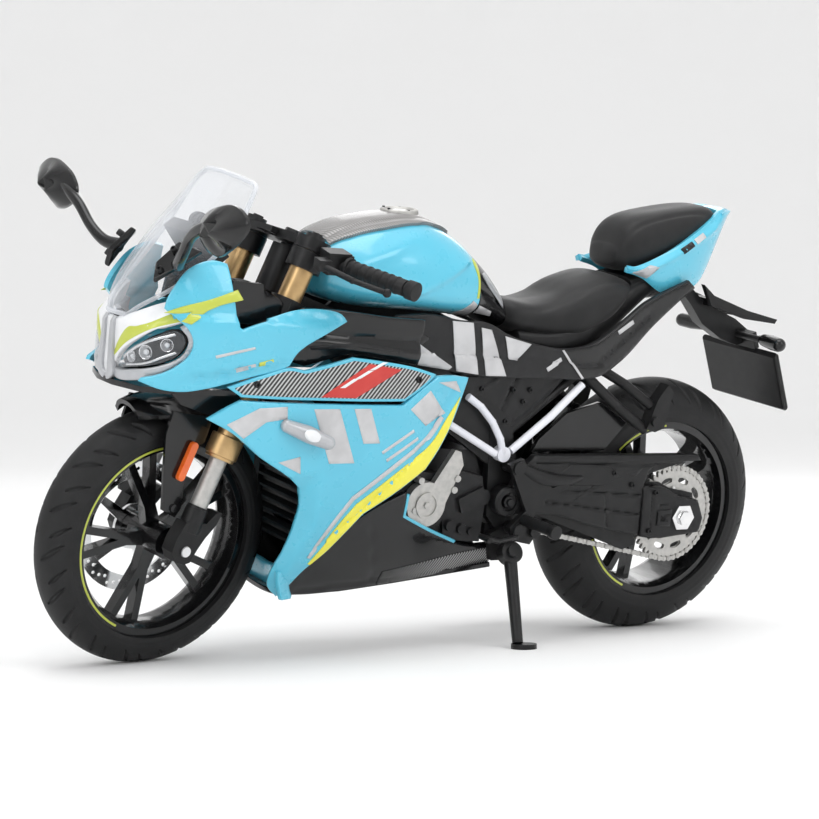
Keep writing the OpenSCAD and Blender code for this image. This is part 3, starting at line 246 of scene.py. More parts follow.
def finish_piece(o, mat, body, smooth=35, weighted=True, slot=None, replaces=()):
    """From a mesh in mm in the upright frame to a piece of the model."""
    me = o.data
    bm = bmesh.new()
    bm.from_mesh(me)
    thr = rad(smooth)
    for e in bm.edges:
        e.smooth = not (len(e.link_faces) == 2 and e.calc_face_angle(0) > thr)
    for f in bm.faces:
        f.smooth = True
    bm.to_mesh(me)
    bm.free()
    me.transform(Matrix.Scale(MM, 4))
    mats = mat if isinstance(mat, (list, tuple)) else [mat]
    if len(me.materials) != len(mats):
        me.materials.clear()
        for m in mats:
            me.materials.append(M[m] if isinstance(m, str) else m)
    else:
        for i, m in enumerate(mats):
            me.materials[i] = M[m] if isinstance(m, str) else m
    o.matrix_world = place_of(body)[0]
    if weighted:
        w = o.modifiers.new("wn", "WEIGHTED_NORMAL")
        w.keep_sharp = True
        w.weight = 60
    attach(o, body)
    if replaces:
        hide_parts(*replaces)
    return o


def obj_from_bm(name, bm):
    me = bpy.data.meshes.new(name)
    bm.to_mesh(me)
    bm.free()
    return link(name, me)


def add_bevel(o, width, seg=2, angle=30):
    b = o.modifiers.new("bevel", "BEVEL")
    b.width = width
    b.segments = seg
    b.limit_method = "ANGLE"
    b.angle_limit = rad(angle)
    b.use_clamp_overlap = True
    b.miter_outer = "MITER_ARC"
    return b


def node_bm(node):
    body = BODY[node]
    bm = bmesh.new()
    bm.from_mesh(frame["nodes"][node].data)
    inv = place_of(body)[1].inverted() @ Matrix.Scale(1000, 4)
    bmesh.ops.transform(bm, matrix=inv, verts=bm.verts)
    bmesh.ops.remove_doubles(bm, verts=bm.verts, dist=0.002)
    bmesh.ops.dissolve_degenerate(bm, edges=bm.edges, dist=0.001)
    bmesh.ops.dissolve_limit(bm, angle_limit=rad(0.8), verts=bm.verts, edges=bm.edges)
    return bm


def from_node(node, name, mat=None, bevel=0.15, seg=2, angle=30, smooth=35, keep=None):
    """A finished piece that starts from the CAD solid: welded, clean faces, rounded edges."""
    bm = node_bm(node)
    if keep:
        bmesh.ops.delete(bm, geom=[f for f in bm.faces if not keep(f.calc_center_median())], context="FACES")
    o = obj_from_bm(name, bm)
    if bevel:
        add_bevel(o, bevel, seg, angle)
        bake(o)
    return finish_piece(o, mat or NODE_MAT[SLOT[node]], BODY[node], smooth, slot=SLOT[node], replaces=[node])


DONE = set()


# ---------------------------------------------------------------- surfaces of the bodywork
def pw(v, k):
    return max(v, 0.0) ** k


def lerp(a, b, t):
    return a + (b - a) * t


def smooth(a, b, x):
    t = min(1.0, max(0.0, (x - a) / (b - a)))
    return t * t * (3 - 2 * t)


def yS(x, z):
    f = 7.1 * pw((x - 30) / 38, 4.3) if x > 30 else 1.7 * pw((30 - x) / 30, 2)
    return 18 - f - 4 * pw((z - 62) / 14, 2) - 8 * pw((42 - z) / 27, 2.2)


def yT(x):
    return 11.2 - 3.4 * pw((-x - 25) / 48, 1.4)


def nose_x(a, z):
    return 68.7 - 8.6 * pw(a, 3.2) - (1.0 * (z - 64) if z > 64 else 0) * (1 - 0.45 * a) - (0.12 * (56 - z) if z < 56 else 0)


def seg_dist(p, a, b):
    """Signed side and distance of p from the line a-b, and where along it."""
    ax, ay, bx, by = *a, *b
    dx, dy = bx - ax, by - ay
    l = math.hypot(dx, dy)
    t = ((p[0] - ax) * dx + (p[1] - ay) * dy) / l
    s = (-(p[0] - ax) * dy + (p[1] - ay) * dx) / l
    return s, t / l


def crease(p, a, b, depth, wide, ends=0.12):
    """A soft step that falls off on the left side of a-b."""
    s, t = seg_dist(p, a, b)
    if s <= 0:
        return 0.0
    e = smooth(-ends, ends, t) * (1 - smooth(1 - ends, 1 + ends, t))
    return -depth * e * math.exp(-s / wide) * smooth(0, 0.25, s)


def map_upper(x, z):
    p = (x, z)
    y = yS(x, z)
    y += crease(p, (34, 66.3), (62.4, 66.6), 0.9, 3.2)
    y += crease(p, (60.4, 56.2), (43, 59.4), 0.8, 2.6)
    y += 0.55 * math.exp(-(((x - 57.2) / 3.2) ** 2 + ((z - 61.5) / 6) ** 2))
    y -= 0.9 * smooth(2.2, 0, x - 49.4) * smooth(66, 70, z)
    return (x, y, z)


def map_lower(x, z):
    y = yS(x, z)
    fe = 35.6 + (2.6 * smooth(30, 18, z) if z < 30 else 0)
    if z < 38:
        y -= 2.2 * smooth(3.6, 0.0, abs(fe - x) if x < fe else 0) * smooth(40, 33, z)
    y += crease((x, z), (52.5, 45.6), (38.4, 36.6), 0.0, 2.0)
    y += crease((x, z), (4.2, 55.0), (11.5, 41.5), 0.5, 2.2) + crease((x, z), (11.5, 41.5), (31, 23), 0.6, 2.2)
    return (x, y, z)


def map_fairing(inset=0.0):
    return lambda x, z: (x, yS(x, z) - inset, z)


def map_side(x, z):
    y = yT(x) + 0.5
    y += crease((x, z), (-34, 57.4), (16, 60.2), 0.55, 1.6)
    y += crease((x, z), (-46, 68.2), (-33, 58.0), 0.5, 1.6)
    return (x, y, z)


def map_nose(y, z):
    return (nose_x(abs(y) / 14.4, z), y, z)


# ---------------------------------------------------------------- outlines and panels
def outline(pts, step=0.7, closed=True):
    """Smooth closed curve through points (a, b) with corners at points (a, b, 1)."""
    n = len(pts)
    out = []
    rng = range(n if closed else n - 1)
    for i in rng:
        p0, p1 = pts[i], pts[(i + 1) % n]
        a, b = np.array(p0[:2], float), np.array(p1[:2], float)
        d = b - a
        l = np.linalg.norm(d)
        if l < 1e-6:
            continue

        def tan(k):
            p, c, q = pts[(k - 1) % n], pts[k % n], pts[(k + 1) % n]
            if len(c) > 2 or (not closed and k in (0, n - 1)):
                return None
            u, v = np.array(c[:2], float) - p[:2], np.array(q[:2], float) - c[:2]
            t = u / np.linalg.norm(u) + v / np.linalg.norm(v)
            return t / (np.linalg.norm(t) + 1e-9)
        t0, t1 = tan(i), tan(i + 1)
        t0 = d / l if t0 is None else t0
        t1 = d / l if t1 is None else t1
        m = max(1, int(round(l / step)))
        for k in range(m):
            s = k / m
            h = (2 * s ** 3 - 3 * s ** 2 + 1, s ** 3 - 2 * s ** 2 + s, -2 * s ** 3 + 3 * s ** 2, s ** 3 - s ** 2)
            out.append(h[0] * a + h[1] * l * t0 + h[2] * b + h[3] * l * t1)
    if not closed:
        out.append(np.array(pts[-1][:2], float))
    return np.array(out)


def area2(P):
    x, y = P[:, 0], P[:, 1]
    return 0.5 * np.sum(x * np.roll(y, -1) - np.roll(x, -1) * y)


def inside(P, q):
    x, y = P[:, 0], P[:, 1]
    x2, y2 = np.roll(x, -1), np.roll(y, -1)
    c = ((y[None] > q[:, 1:2]) != (y2[None] > q[:, 1:2])) & (q[:, 0:1] < (x2 - x)[None] * (q[:, 1:2] - y[None]) / ((y2 - y)[None] + 1e-12) + x[None])
    return np.sum(c, 1) % 2 == 1


def dist_to(P, q):
    a, b = P, np.roll(P, -1, 0)
    d = b - a
    t = np.clip(np.einsum("mnk,nk->mn", q[:, None] - a[None], d) / (np.sum(d * d, 1)[None] + 1e-12), 0, 1)
    r = q[:, None] - (a[None] + t[..., None] * d[None])
    return np.sqrt(np.min(np.sum(r * r, 2), 1))


def inset(P, d):
    """The closed curve moved inwards by d, dropping points that fold over."""
    P = P if area2(P) > 0 else P[::-1]
    a, b = np.roll(P, 1, 0), np.roll(P, -1, 0)
    t = b - a
    t /= np.linalg.norm(t, axis=1)[:, None] + 1e-12
    q = P + d * np.stack([-t[:, 1], t[:, 0]], 1)
    ok = (dist_to(P, q) > abs(d) * 0.93)
    return q[ok]


def map_normals(fmap, Q, hint):
    e = 0.05
    P = np.array([fmap(*q) for q in Q])
    du = np.array([fmap(q[0] + e, q[1]) for q in Q]) - np.array([fmap(q[0] - e, q[1]) for q in Q])
    dv = np.array([fmap(q[0], q[1] + e) for q in Q]) - np.array([fmap(q[0], q[1] - e) for q in Q])
    n = np.cross(du, dv)
    n /= np.linalg.norm(n, axis=1)[:, None] + 1e-12
    n *= np.where(n @ np.array(hint, float) < 0, -1, 1)[:, None]
    return P, n


def panel(name, pts, fmap, mat, body="chassis", t=1.1, r=0.3, step=0.7, grid=1.5, off=0.0, hint=(0, 1, 0), sides=(1, -1), slot=None, replaces=(), raw=False, smooth_deg=50):
    """A moulded panel: outline in two of the surface's own coordinates, laid on the surface, with rounded edges."""
    P = np.array(pts, float) if raw else outline(pts, step)
    if area2(P) < 0:
        P = P[::-1]
    n0 = len(P)
    extra = []
    for d in ((0.12 * r, 0.4 * r, r) if r > 0.1 else (r,)):
        extra.append(inset(P, d))
    lo, hi = P.min(0), P.max(0)
    gx, gy = np.meshgrid(np.arange(lo[0], hi[0], grid), np.arange(lo[1], hi[1], grid * 0.866))
    gx = gx + (np.arange(gx.shape[0]) % 2)[:, None] * grid / 2
    G = np.stack([gx.ravel(), gy.ravel()], 1)
    if len(G):
        G = G[inside(P, G)]
    if len(G):
        G = G[dist_to(P, G) > r + 0.35 * min(grid, step * 1.6)]
    Q = np.concatenate([P] + extra + ([G] if len(G) else []))
    res = delaunay_2d_cdt([Vector(q) for q in Q], [], [list(range(n0))], 1, 1e-5)
    V, F, orig = np.array([tuple(v) for v in res[0]]), res[2], res[3]
    rim = {k for k, o in enumerate(orig) if any(i < n0 for i in o)}
    d = dist_to(P, V)
    d[list(rim)] = 0
    drop = np.where(d < r, r - np.sqrt(np.maximum(r * r - (r - d) ** 2, 0)), 0)
    made = []
    B, N = map_normals(fmap, V, hint)
    top = B + N * (off - drop)[:, None]
    bot = B + N * (off - t)
    # boundary loop from the faces
    edges = {}
    F = [f if area2(V[list(f)]) > 0 else f[::-1] for f in F]
    for f in F:
        for i in range(len(f)):
            edges[(f[i], f[(i + 1) % len(f)])] = 1
    walls = [(a, b) for (a, b) in edges if (b, a) not in edges]
    m = len(V)
    flip = None
    for s in sides:
        S = np.array([1, s, 1])
        verts = np.concatenate([top, bot]) * S
        faces = [tuple(f) for f in F] + [tuple(i + m for i in reversed(f)) for f in F] + [(a, a + m, b + m, b) for a, b in walls]
        if flip is None:
            f = F[len(F) // 2]
            nn = np.cross(top[f[1]] - top[f[0]], top[f[2]] - top[f[0]])
            flip = nn @ N[f[0]] < 0
        if flip == (s > 0):
            faces = [tuple(reversed(f)) for f in faces]
        me = bpy.data.meshes.new(name)
        me.from_pydata([tuple(v) for v in verts], [], faces)
        o = link(name if len(sides) == 1 else name + ("_left" if s > 0 else "_right"), me)
        reps = replaces if not isinstance(replaces, dict) else replaces[s]
        finish_piece(o, mat, body, smooth_deg, weighted=False, slot=slot, replaces=reps)
        made.append(o)
    DONE.update(r_ for x in ([replaces] if not isinstance(replaces, dict) else replaces.values()) for r_ in x)
    return made


def decal(name, pts, fmap, mat, off=0.05, **kw):
    kw.setdefault("grid", 0.8)
    kw.setdefault("step", 0.5)
    return panel(name, pts, fmap, mat, t=0.2, r=0.02, off=off + 0.05, **kw)


def grid_mesh(name, P, closed_u=False, closed_v=False, caps=False):
    """Quads over a grid of points P[i][j]."""
    n, m = len(P), len(P[0])
    verts = [tuple(p) for row in P for p in row]
    faces = []
    for i in range(n if closed_u else n - 1):
        for j in range(m if closed_v else m - 1):
            a, b = i * m + j, i * m + (j + 1) % m
            c, d = ((i + 1) % n) * m + (j + 1) % m, ((i + 1) % n) * m + j
            faces.append((a, b, c, d))
    if caps:
        faces.append(tuple(range(m - 1, -1, -1)))
        faces.append(tuple((n - 1) * m + j for j in range(m)))
    me = bpy.data.meshes.new(name)
    me.from_pydata(verts, [], faces)
    return me


def fix_normals(o):
    bm = bmesh.new()
    bm.from_mesh(o.data)
    bmesh.ops.recalc_face_normals(bm, faces=bm.faces)
    bm.to_mesh(o.data)
    bm.free()


def shell(name, F, nu, nv, t, mat, body="chassis", bevel=0.25, sides=(1,), slot=None, replaces=(), smooth_deg=45, inward=None, seg=3):
    """A closed shell over F(u, v), 0 to 1 each, thickness t along the normal."""
    made = []
    for s in sides:
        g = np.array([[F(i / nu, j / nv) for j in range(nv + 1)] for i in range(nu + 1)], float)
        du, dv = np.gradient(g, axis=0), np.gradient(g, axis=1)
        nrm = np.cross(du, dv)
        nrm /= np.linalg.norm(nrm, axis=2)[..., None] + 1e-12
        ref = np.array(inward if inward is not None else (0, -1, 0), float)
        if np.sum(nrm * ref) < 0:
            nrm = -nrm
        inner = g + nrm * t
        if s < 0:
            g, inner = g * (1, -1, 1), inner * (1, -1, 1)
        n, m = nu + 1, nv + 1
        verts = [tuple(p) for p in g.reshape(-1, 3)] + [tuple(p) for p in inner.reshape(-1, 3)]
        faces = []
        k = n * m
        for i in range(nu):
            for j in range(nv):
                a, b, c, d = i * m + j, i * m + j + 1, (i + 1) * m + j + 1, (i + 1) * m + j
                faces += [(a, b, c, d), (a + k, d + k, c + k, b + k)]
        for i in range(nu):
            a, b = i * m, (i + 1) * m
            faces.append((a, b, b + k, a + k))
            a, b = i * m + nv, (i + 1) * m + nv
            faces.append((a, a + k, b + k, b))
        for j in range(nv):
            faces.append((j, j + k, j + 1 + k, j + 1))
            a = nu * m + j
            faces.append((a, a + 1, a + 1 + k, a + k))
        me = bpy.data.meshes.new(name)
        me.from_pydata(verts, [], faces)
        o = link(name if len(sides) == 1 else name + ("_left" if s > 0 else "_right"), me)
        fix_normals(o)
        if bevel:
            add_bevel(o, bevel, seg, 50)
            bake(o)
        finish_piece(o, mat, body, smooth_deg, weighted=True, slot=slot, replaces=replaces if s == sides[0] else ())
        made.append(o)
    DONE.update(replaces)
    return made


def spline(table, s):
    """Catmull-Rom through the rows of a table, s from 0 to len-1."""
    n = len(table) - 1
    i = min(int(s), n - 1)
    t = s - i
    T = [np.array(table[min(max(i + k, 0), n)], float) for k in (-1, 0, 1, 2)]
    return 0.5 * ((2 * T[1]) + (-T[0] + T[2]) * t + (2 * T[0] - 5 * T[1] + 4 * T[2] - T[3]) * t * t + (-T[0] + 3 * T[1] - 3 * T[2] + T[3]) * t ** 3)


def ring_pts(s, n, k=2.4):
    """Points of one cross ring: x, bottom, top, half width, height of the widest point."""
    x, zb, zt, w, zm = s[:5]
    out = []
    for i in range(n):
        a = 2 * math.pi * i / n
        c, q = math.cos(a), math.sin(a)
        h = zt - zm if q > 0 else zm - zb
        out.append((x, w * math.copysign(abs(c) ** (2 / k), c), zm + h * math.copysign(abs(q) ** (2 / k), q)))
    return out


def loft(name, table, mat, rows=60, n=96, k=2.4, body="chassis", dome=0.0, disp=None, slot=None, replaces=(), s0=0.0, s1=None, smooth_deg=60, bevel=0.0):
    s1 = len(table) - 1 if s1 is None else s1
    P = [ring_pts(spline(table, lerp(s0, s1, i / rows)), n, k if not callable(k) else k(i / rows)) for i in range(rows + 1)]
    P = np.array(P)
    if dome:
        # rounded ends: pull extra rings in towards the middle
        def end(first, second):
            c = first.mean(0)
            d = (first - second).mean(0)
            d /= np.linalg.norm(d) + 1e-9
            return [c + (first - c) * math.cos(a) + d * dome * math.sin(a) for a in (0.25, 0.5, 0.8, 1.1, 1.35)]
        P = np.array(end(P[0], P[1])[::-1] + list(P) + end(P[-1], P[-2]))
    if disp is not None:
        P = np.array([[disp(*p) for p in row] for row in P])
    o = link(name, grid_mesh(name, P, closed_v=True, caps=True))
    fix_normals(o)
    if bevel:
        add_bevel(o, bevel, 3, 50)
        bake(o)
    DONE.update(replaces)
    return finish_piece(o, mat, body, smooth_deg, weighted=False, slot=slot, replaces=replaces)


def lathe(name, prof, mat, body, centre, n=64, axis="Y", slot=None, replaces=(), smooth_deg=35, bevel=0.0, rot=None):
    """Profile of (radius, along) turned about the axis through centre."""
    P = []
    for i in range(n):
        a = 2 * math.pi * i / n
        P.append([(r * math.cos(a), y, r * math.sin(a)) for r, y in prof])
    me = grid_mesh(name, P, closed_u=True, closed_v=True)
    M4 = Matrix.Translation(Vector(centre)) @ (rot or Matrix.Identity(4))
    me.transform(M4)
    o = link(name, me)
    fix_normals(o)
    if bevel:
        add_bevel(o, bevel, 2, 35)
        bake(o)
    DONE.update(replaces)
    return finish_piece(o, mat, body, smooth_deg, slot=slot, replaces=replaces)


def screw(name, p, r, body="chassis", mat="satin", n=(0, 1, 0), sides=(1, -1), h=0.35):
    """A small socket head screw standing on the surface at p."""
    prof = [(0.0001, -0.4), (r * 1.0, -0.4), (r, h * 0.6), (r * 0.86, h), (r * 0.5, h), (r * 0.46, h * 0.3), (0.0001, h * 0.3)]
    for s in sides:
        q = Vector((0, 1, 0)).rotation_difference(Vector((n[0], n[1] * s, n[2]))).to_matrix().to_4x4()
        lathe(name + ("" if len(sides) == 1 else "_left" if s > 0 else "_right"), prof, mat, body, (p[0], p[1] * s, p[2]), n=24, rot=q)


# ---------------------------------------------------------------- more materials
def stripes(name, ca, cb, pitch, angle, duty=0.5, rough=0.3, warp=0.0, plane="xz", fade=None, coat=0.4):
    m, nt, b = nodes_of(name)
    v = coords(nt)
    sep = add(nt, "ShaderNodeSeparateXYZ")
    nt.links.new(v, sep.inputs[0])
    ax = {"x": 0, "y": 1, "z": 2}
    a = mth(nt, "MULTIPLY", sep.outputs[ax[plane[0]]], math.cos(rad(angle)) / pitch)
    c = mth(nt, "MULTIPLY", sep.outputs[ax[plane[1]]], math.sin(rad(angle)) / pitch)
    s = mth(nt, "ADD", a, c)
    if warp:
        s = mth(nt, "ADD", s, mth(nt, "MULTIPLY", noise(nt, v, 0.05, 1), warp))
    f = mth(nt, "FRACT", s)
    tri = mth(nt, "ABSOLUTE", mth(nt, "SUBTRACT", f, 0.5))
    fac = maprange(nt, tri, 0.25 * (duty * 2) - 0.06, 0.25 * (duty * 2) + 0.06, 0, 1)
    col = mixc(nt, fac, ca, cb)
    if fade:
        g = maprange(nt, sep.outputs[ax[fade[0]]], fade[1], fade[2], 0, 1)
        col = mixc(nt, g, col, fade[3])
    n = noise(nt, v, 7, 2)
    nt.links.new(col, b.inputs["Base Color"])
    nt.links.new(maprange(nt, n, 0.3, 0.7, rough, rough * 1.3), b.inputs["Roughness"])
    setv(b, "Coat Weight", coat)
    bumpit(nt, b, fac, 0.1, 0.02)
    m.diffuse_color = rgba(ca)
    return m


M["hatch"] = stripes("hatched_print", (0.50, 0.51, 0.51), (0.008, 0.008, 0.008), 0.68, 38, 0.42, warp=1.2)
M["hatch_dark"] = stripes("hatched_belly", (0.34, 0.34, 0.34), (0.012, 0.012, 0.012), 0.62, 16, 0.42, fade=("x", -2, 10, (0.01, 0.01, 0.01)))


def weave():
    m, nt, b = nodes_of("woven_cover")
    v = coords(nt)
    sep = add(nt, "ShaderNodeSeparateXYZ")
    nt.links.new(v, sep.inputs[0])
    p = 0.52
    a = mth(nt, "FRACT", mth(nt, "MULTIPLY", mth(nt, "ADD", sep.outputs[0], mth(nt, "MULTIPLY", sep.outputs[1], 0.35)), 1 / p))
    c = mth(nt, "FRACT", mth(nt, "MULTIPLY", sep.outputs[1], 1 / 1.6))
    la = maprange(nt, mth(nt, "ABSOLUTE", mth(nt, "SUBTRACT", a, 0.5)), 0.14, 0.30, 0, 1)
    lb = maprange(nt, mth(nt, "ABSOLUTE", mth(nt, "SUBTRACT", c, 0.5)), 0.40, 0.47, 0, 1)
    f = mth(nt, "MAXIMUM", la, lb)
    n = noise(nt, v, 0.25, 2)
    base = mixc(nt, maprange(nt, n, 0.35, 0.65, 0, 1), (0.30, 0.29, 0.285), (0.36, 0.35, 0.345))
    nt.links.new(mixc(nt, mth(nt, "MULTIPLY", f, 0.75), base, (0.085, 0.08, 0.078)), b.inputs["Base Color"])
    nt.links.new(maprange(nt, f, 0, 1, 0.26, 0.36), b.inputs["Roughness"])
    setv(b, "Coat Weight", 0.4)
    bumpit(nt, b, f, 0.12, 0.03)
    return m


M["carbon"] = weave()


def clear(name, tint, body_fac, edge_fac, rough=0.04):
    m = bpy.data.materials.new(name)
    m.use_nodes = True
    nt = m.node_tree
    b = nt.nodes["Principled BSDF"]
    out = nt.nodes["Material Output"]
    v = coords(nt)
    n = noise(nt, v, 0.12, 2)
    nt.links.new(mixc(nt, maprange(nt, n, 0.3, 0.7, 0, 1), tint, tuple(min(1, x * 1.03) for x in tint)), b.inputs["Base Color"])
    nt.links.new(maprange(nt, n, 0.3, 0.7, rough, rough + 0.03), b.inputs["Roughness"])
    setv(b, "Specular IOR Level", 0.6)
    t = add(nt, "ShaderNodeBsdfTransparent")
    t.inputs[0].default_value = (0.97, 0.975, 0.98, 1)
    lw = add(nt, "ShaderNodeLayerWeight")
    lw.inputs["Blend"].default_value = 0.35
    fac = maprange(nt, lw.outputs["Facing"], 0.0, 1.0, body_fac, edge_fac)
    mix = add(nt, "ShaderNodeMixShader")
    nt.links.new(fac, mix.inputs[0])
    nt.links.new(t.outputs[0], mix.inputs[1])
    nt.links.new(b.outputs[0], mix.inputs[2])
    nt.links.new(mix.outputs[0], out.inputs["Surface"])
    m.diffuse_color = (0.9, 0.92, 0.95, 0.3)
    return m


M["screen"] = clear("clear_screen", (0.80, 0.82, 0.86), 0.035, 0.60)
M["lens"] = clear("clear_lens", (0.70, 0.72, 0.75), 0.04, 0.45, 0.03)

# ---------------------------------------------------------------- upper fairing
UP_OUT = [(68.0, 54.5, 1), (64.6, 53.4), (61, 53.3), (57.4, 54.0), (53.4, 55.1), (48, 56.6), (43.6, 57.6), (41.6, 58.6, 1), (40.6, 60.4), (38.8, 62.0), (35, 64.1), (32.2, 65.6),
          (30.2, 66.7, 1), (31.2, 67.9), (36, 68.7), (41, 68.3), (46.6, 66.6), (51.3, 64.9, 1), (51.9, 65.2, 1), (52.6, 69.4), (53.0, 72.8), (53.4, 76.0, 1), (56.2, 76.4),
          (60.4, 74.7), (62.9, 71.8), (64.3, 69.4), (64.8, 67.7, 1), (62.9, 66.1), (61.0, 64.3), (60.2, 62.2), (60.6, 60.0), (62.2, 58.0), (64.8, 56.2), (67.7, 55.1, 1)]
panel("upper_fairing", UP_OUT, map_upper, "cyan", t=1.1, r=0.32, grid=0.85, slot="cyan_paint", replaces={1: ["upper_fairing_left"], -1: ["upper_fairing_right"]})
decal("upper_lime_flash", [(64.9, 66.9, 1), (62.4, 68.0), (57, 69.8), (52.2, 71.6, 1), (51.2, 69.9, 1), (55.4, 68.8), (57.6, 67.8, 1), (60.6, 65.3, 1), (62.2, 65.7, 1), (60.2, 67.4, 1), (62.0, 67.0)], map_upper, "lime", off=0.12, grid=0.5)
decal("upper_grey_line", [(56.4, 60.2, 1), (49.0, 61.9, 1), (48.8, 61.5, 1), (56.2, 59.7, 1)], map_upper, "silver")
decal("upper_small_bars_a", [(52.6, 57.9, 1), (48.6, 58.9, 1), (48.3, 58.0, 1), (52.3, 57.0, 1)], map_upper, "silver")
decal("upper_small_bars_b", [(47.9, 59.1, 1), (45.2, 59.8, 1), (44.9, 58.9, 1), (47.6, 58.2, 1)], map_upper, "lime")

# ---------------------------------------------------------------- insert with hatched print
INS = [(53.4, 54.5, 1), (49.6, 55.9), (45.8, 57.1), (41.6, 58.2), (38.2, 57.7, 1), (33, 58.9), (28.3, 60.1, 1), (22.8, 59.5), (14.8, 58.3), (9.4, 56.9, 1), (12.0, 54.6), (16.2, 51.9, 1), (26, 52.0), (34, 52.2), (42, 52.4), (50.6, 52.8, 1)]
panel("insert_frame", INS, map_fairing(0.0), "cyan", t=0.8, r=0.25, off=-0.12, slot="cyan_paint", replaces=["insert_panels"])
INS_IN = inset(outline(INS), 0.55)
panel("insert_print", INS_IN, map_fairing(0.0), "hatch", t=0.12, r=0.03, off=-0.06, raw=True, slot="carbon_look")
decal("insert_red", [(34.6, 52.9, 1), (27.2, 52.7, 1), (17.7, 57.9, 1), (24.9, 59.0, 1)], map_fairing(0.0), "red", off=0.0)
for k in range(3):
    q = 3.0 * k
    decal("insert_bar_%d" % k, [(30.9 - q, 54.6 + 0.55 * q, 1), (29.8 - q, 54.6 + 0.55 * q, 1), (27.0 - q, 56.3 + 0.5 * q, 1), (28.1 - q, 56.3 + 0.5 * q, 1)], map_fairing(0.0), "white", off=0.05)
screw("insert_screw_front", (47.9, yS(47.9, 55.2) - 0.05, 55.2), 0.62)
screw("insert_screw_rear", (13.6, yS(13.6, 56.0) - 0.05, 56.0), 0.62)

# ---------------------------------------------------------------- lower fairing
LO_OUT = [(56.6, 48.7, 1), (53.6, 50.6), (50.6, 52.2, 1), (44, 51.9), (38, 51.7), (30, 51.5), (22, 51.3), (16.4, 51.2, 1), (12.4, 54.2), (9.0, 56.5, 1), (5.2, 56.5), (1.6, 56.2, 1), (3.0, 51.8), (4.9, 46.6),
          (7.0, 42.6), (9.6, 38.9, 1), (15.6, 34.6), (22.3, 30.4, 1), (25.2, 26.6), (28, 22.8), (31.4, 18.8), (33.0, 15.6), (34.4, 13.0, 1), (36.8, 15.4), (37.2, 19), (36.4, 23), (35.4, 28), (35.4, 33.6), (36.2, 35.6, 1),
          (39.8, 38.3), (45.8, 41.9), (51.4, 46.1)]
panel("lower_fairing", LO_OUT, map_lower, "cyan", t=1.1, r=0.32, grid=0.9, slot="cyan_paint", replaces={1: ["lower_fairing_left"], -1: ["lower_fairing_right"]})


def chin(u, v):
    a = abs(2 * u - 1)
    y = 10.9 * (2 * u - 1)
    x = 36.7 - 4.3 * pw(1 - a, 0.25) - 1.4 * v * v
    return (x, y, lerp(18.2 + 0.8 * a, 12.4 + 0.9 * a, v) - 0.5 * (1 - a))


shell("lower_chin", chin, 36, 10, 1.1, "cyan", bevel=0.25, inward=(-1, 0, 0), slot="cyan_paint")
decal("lower_yellow", [(3.4, 52.6, 1), (5.3, 46.8), (7.4, 42.8), (10.0, 39.0, 1), (16.0, 34.8), (22.6, 30.7, 1), (25.5, 26.9), (28.3, 23.1), (30.6, 20.4, 1), (31.1, 20.6, 1), (29.0, 24.6), (26.6, 29.2),
                       (24.2, 32.6, 1), (18.2, 37.0), (11.8, 41.4, 1), (8.6, 44.6), (6.2, 48.4)], map_lower, "yellow", grid=0.5, off=0.14)
decal("lower_silver_line", [(6.9, 48.6, 1), (9.4, 45.0), (12.6, 42.2, 1), (18.8, 37.9), (25.0, 33.4, 1), (27.8, 28.9), (31.2, 21.8, 1), (31.8, 22.0, 1), (28.6, 29.3), (25.6, 34.1, 1), (19.2, 38.7), (13.0, 42.9, 1), (9.9, 45.6), (7.5, 49.0, 1)], map_lower, "silver", grid=0.5, off=0.14)
# plain slanted bars stand in for the big print
def slash(x, z0, z1, w, lean_=0.42):
    return [(x, z0, 1), (x - w, z0, 1), (x - w + (z1 - z0) * lean_, z1, 1), (x + (z1 - z0) * lean_, z1, 1)]


decal("lower_bar_a", [(53.0, 47.9, 1), (47.0, 50.9, 1), (41.4, 51.2, 1), (41.2, 49.0, 1), (45.4, 48.4, 1), (49.6, 45.4, 1)], map_lower, "silver")
decal("lower_bar_b", slash(31.6, 40.6, 50.7, 5.4), map_lower, "silver")
decal("lower_bar_c", slash(24.6, 44.2, 50.7, 3.6), map_lower, "silver")
decal("lower_bar_d", [(14.8, 50.4, 1), (10.6, 53.9, 1), (6.6, 49.6, 1), (10.8, 47.2, 1)], map_lower, "silver")
decal("lower_bar_e", [(42.2, 41.0, 1), (37.8, 42.0, 1), (37.4, 38.8, 1)], map_lower, "silver")
decal("lower_bar_f", [(8.8, 55.4, 1), (4.6, 55.6, 1), (3.4, 53.4, 1)], map_lower, "silver")
for k in range(2):
    decal("lower_small_line_%d" % k, [(20.4 - 1.2 * k, 42.6 - 1.5 * k, 1), (13.6 - 1.2 * k, 46.6 - 1.5 * k, 1), (13.3 - 1.2 * k, 46.1 - 1.5 * k, 1), (20.1 - 1.2 * k, 42.1 - 1.5 * k, 1)], map_lower, "silver")

# ---------------------------------------------------------------- belly pan
BEL = [(32.6, 18.8, 1), (28, 23.0), (24.6, 27.0), (20.4, 30.4), (16, 32.6), (12.2, 34.2, 1), (11.6, 29.0, 1), (4.8, 25.9), (-2.8, 22.8), (-8, 21.5), (-14.8, 21.4, 1), (-15.2, 16.3, 1), (-9.6, 15.9), (-4, 15.3), (2, 14.7), (8, 14.1), (14, 13.6), (20, 13.1), (27, 12.8), (33.8, 13.1, 1), (34.0, 15.6)]


def map_belly(x, z):
    y = yS(x, z) - 1.2
    y += crease((x, z), (-14, 17.0), (30, 13.6), 0.35, 1.0, 0.02)
    y -= 0.25 * math.exp(-((x - 16.4 - (z - 22) * 0.42) / 0.22) ** 2) * smooth(14.5, 16, z)
    return (x, y, z)


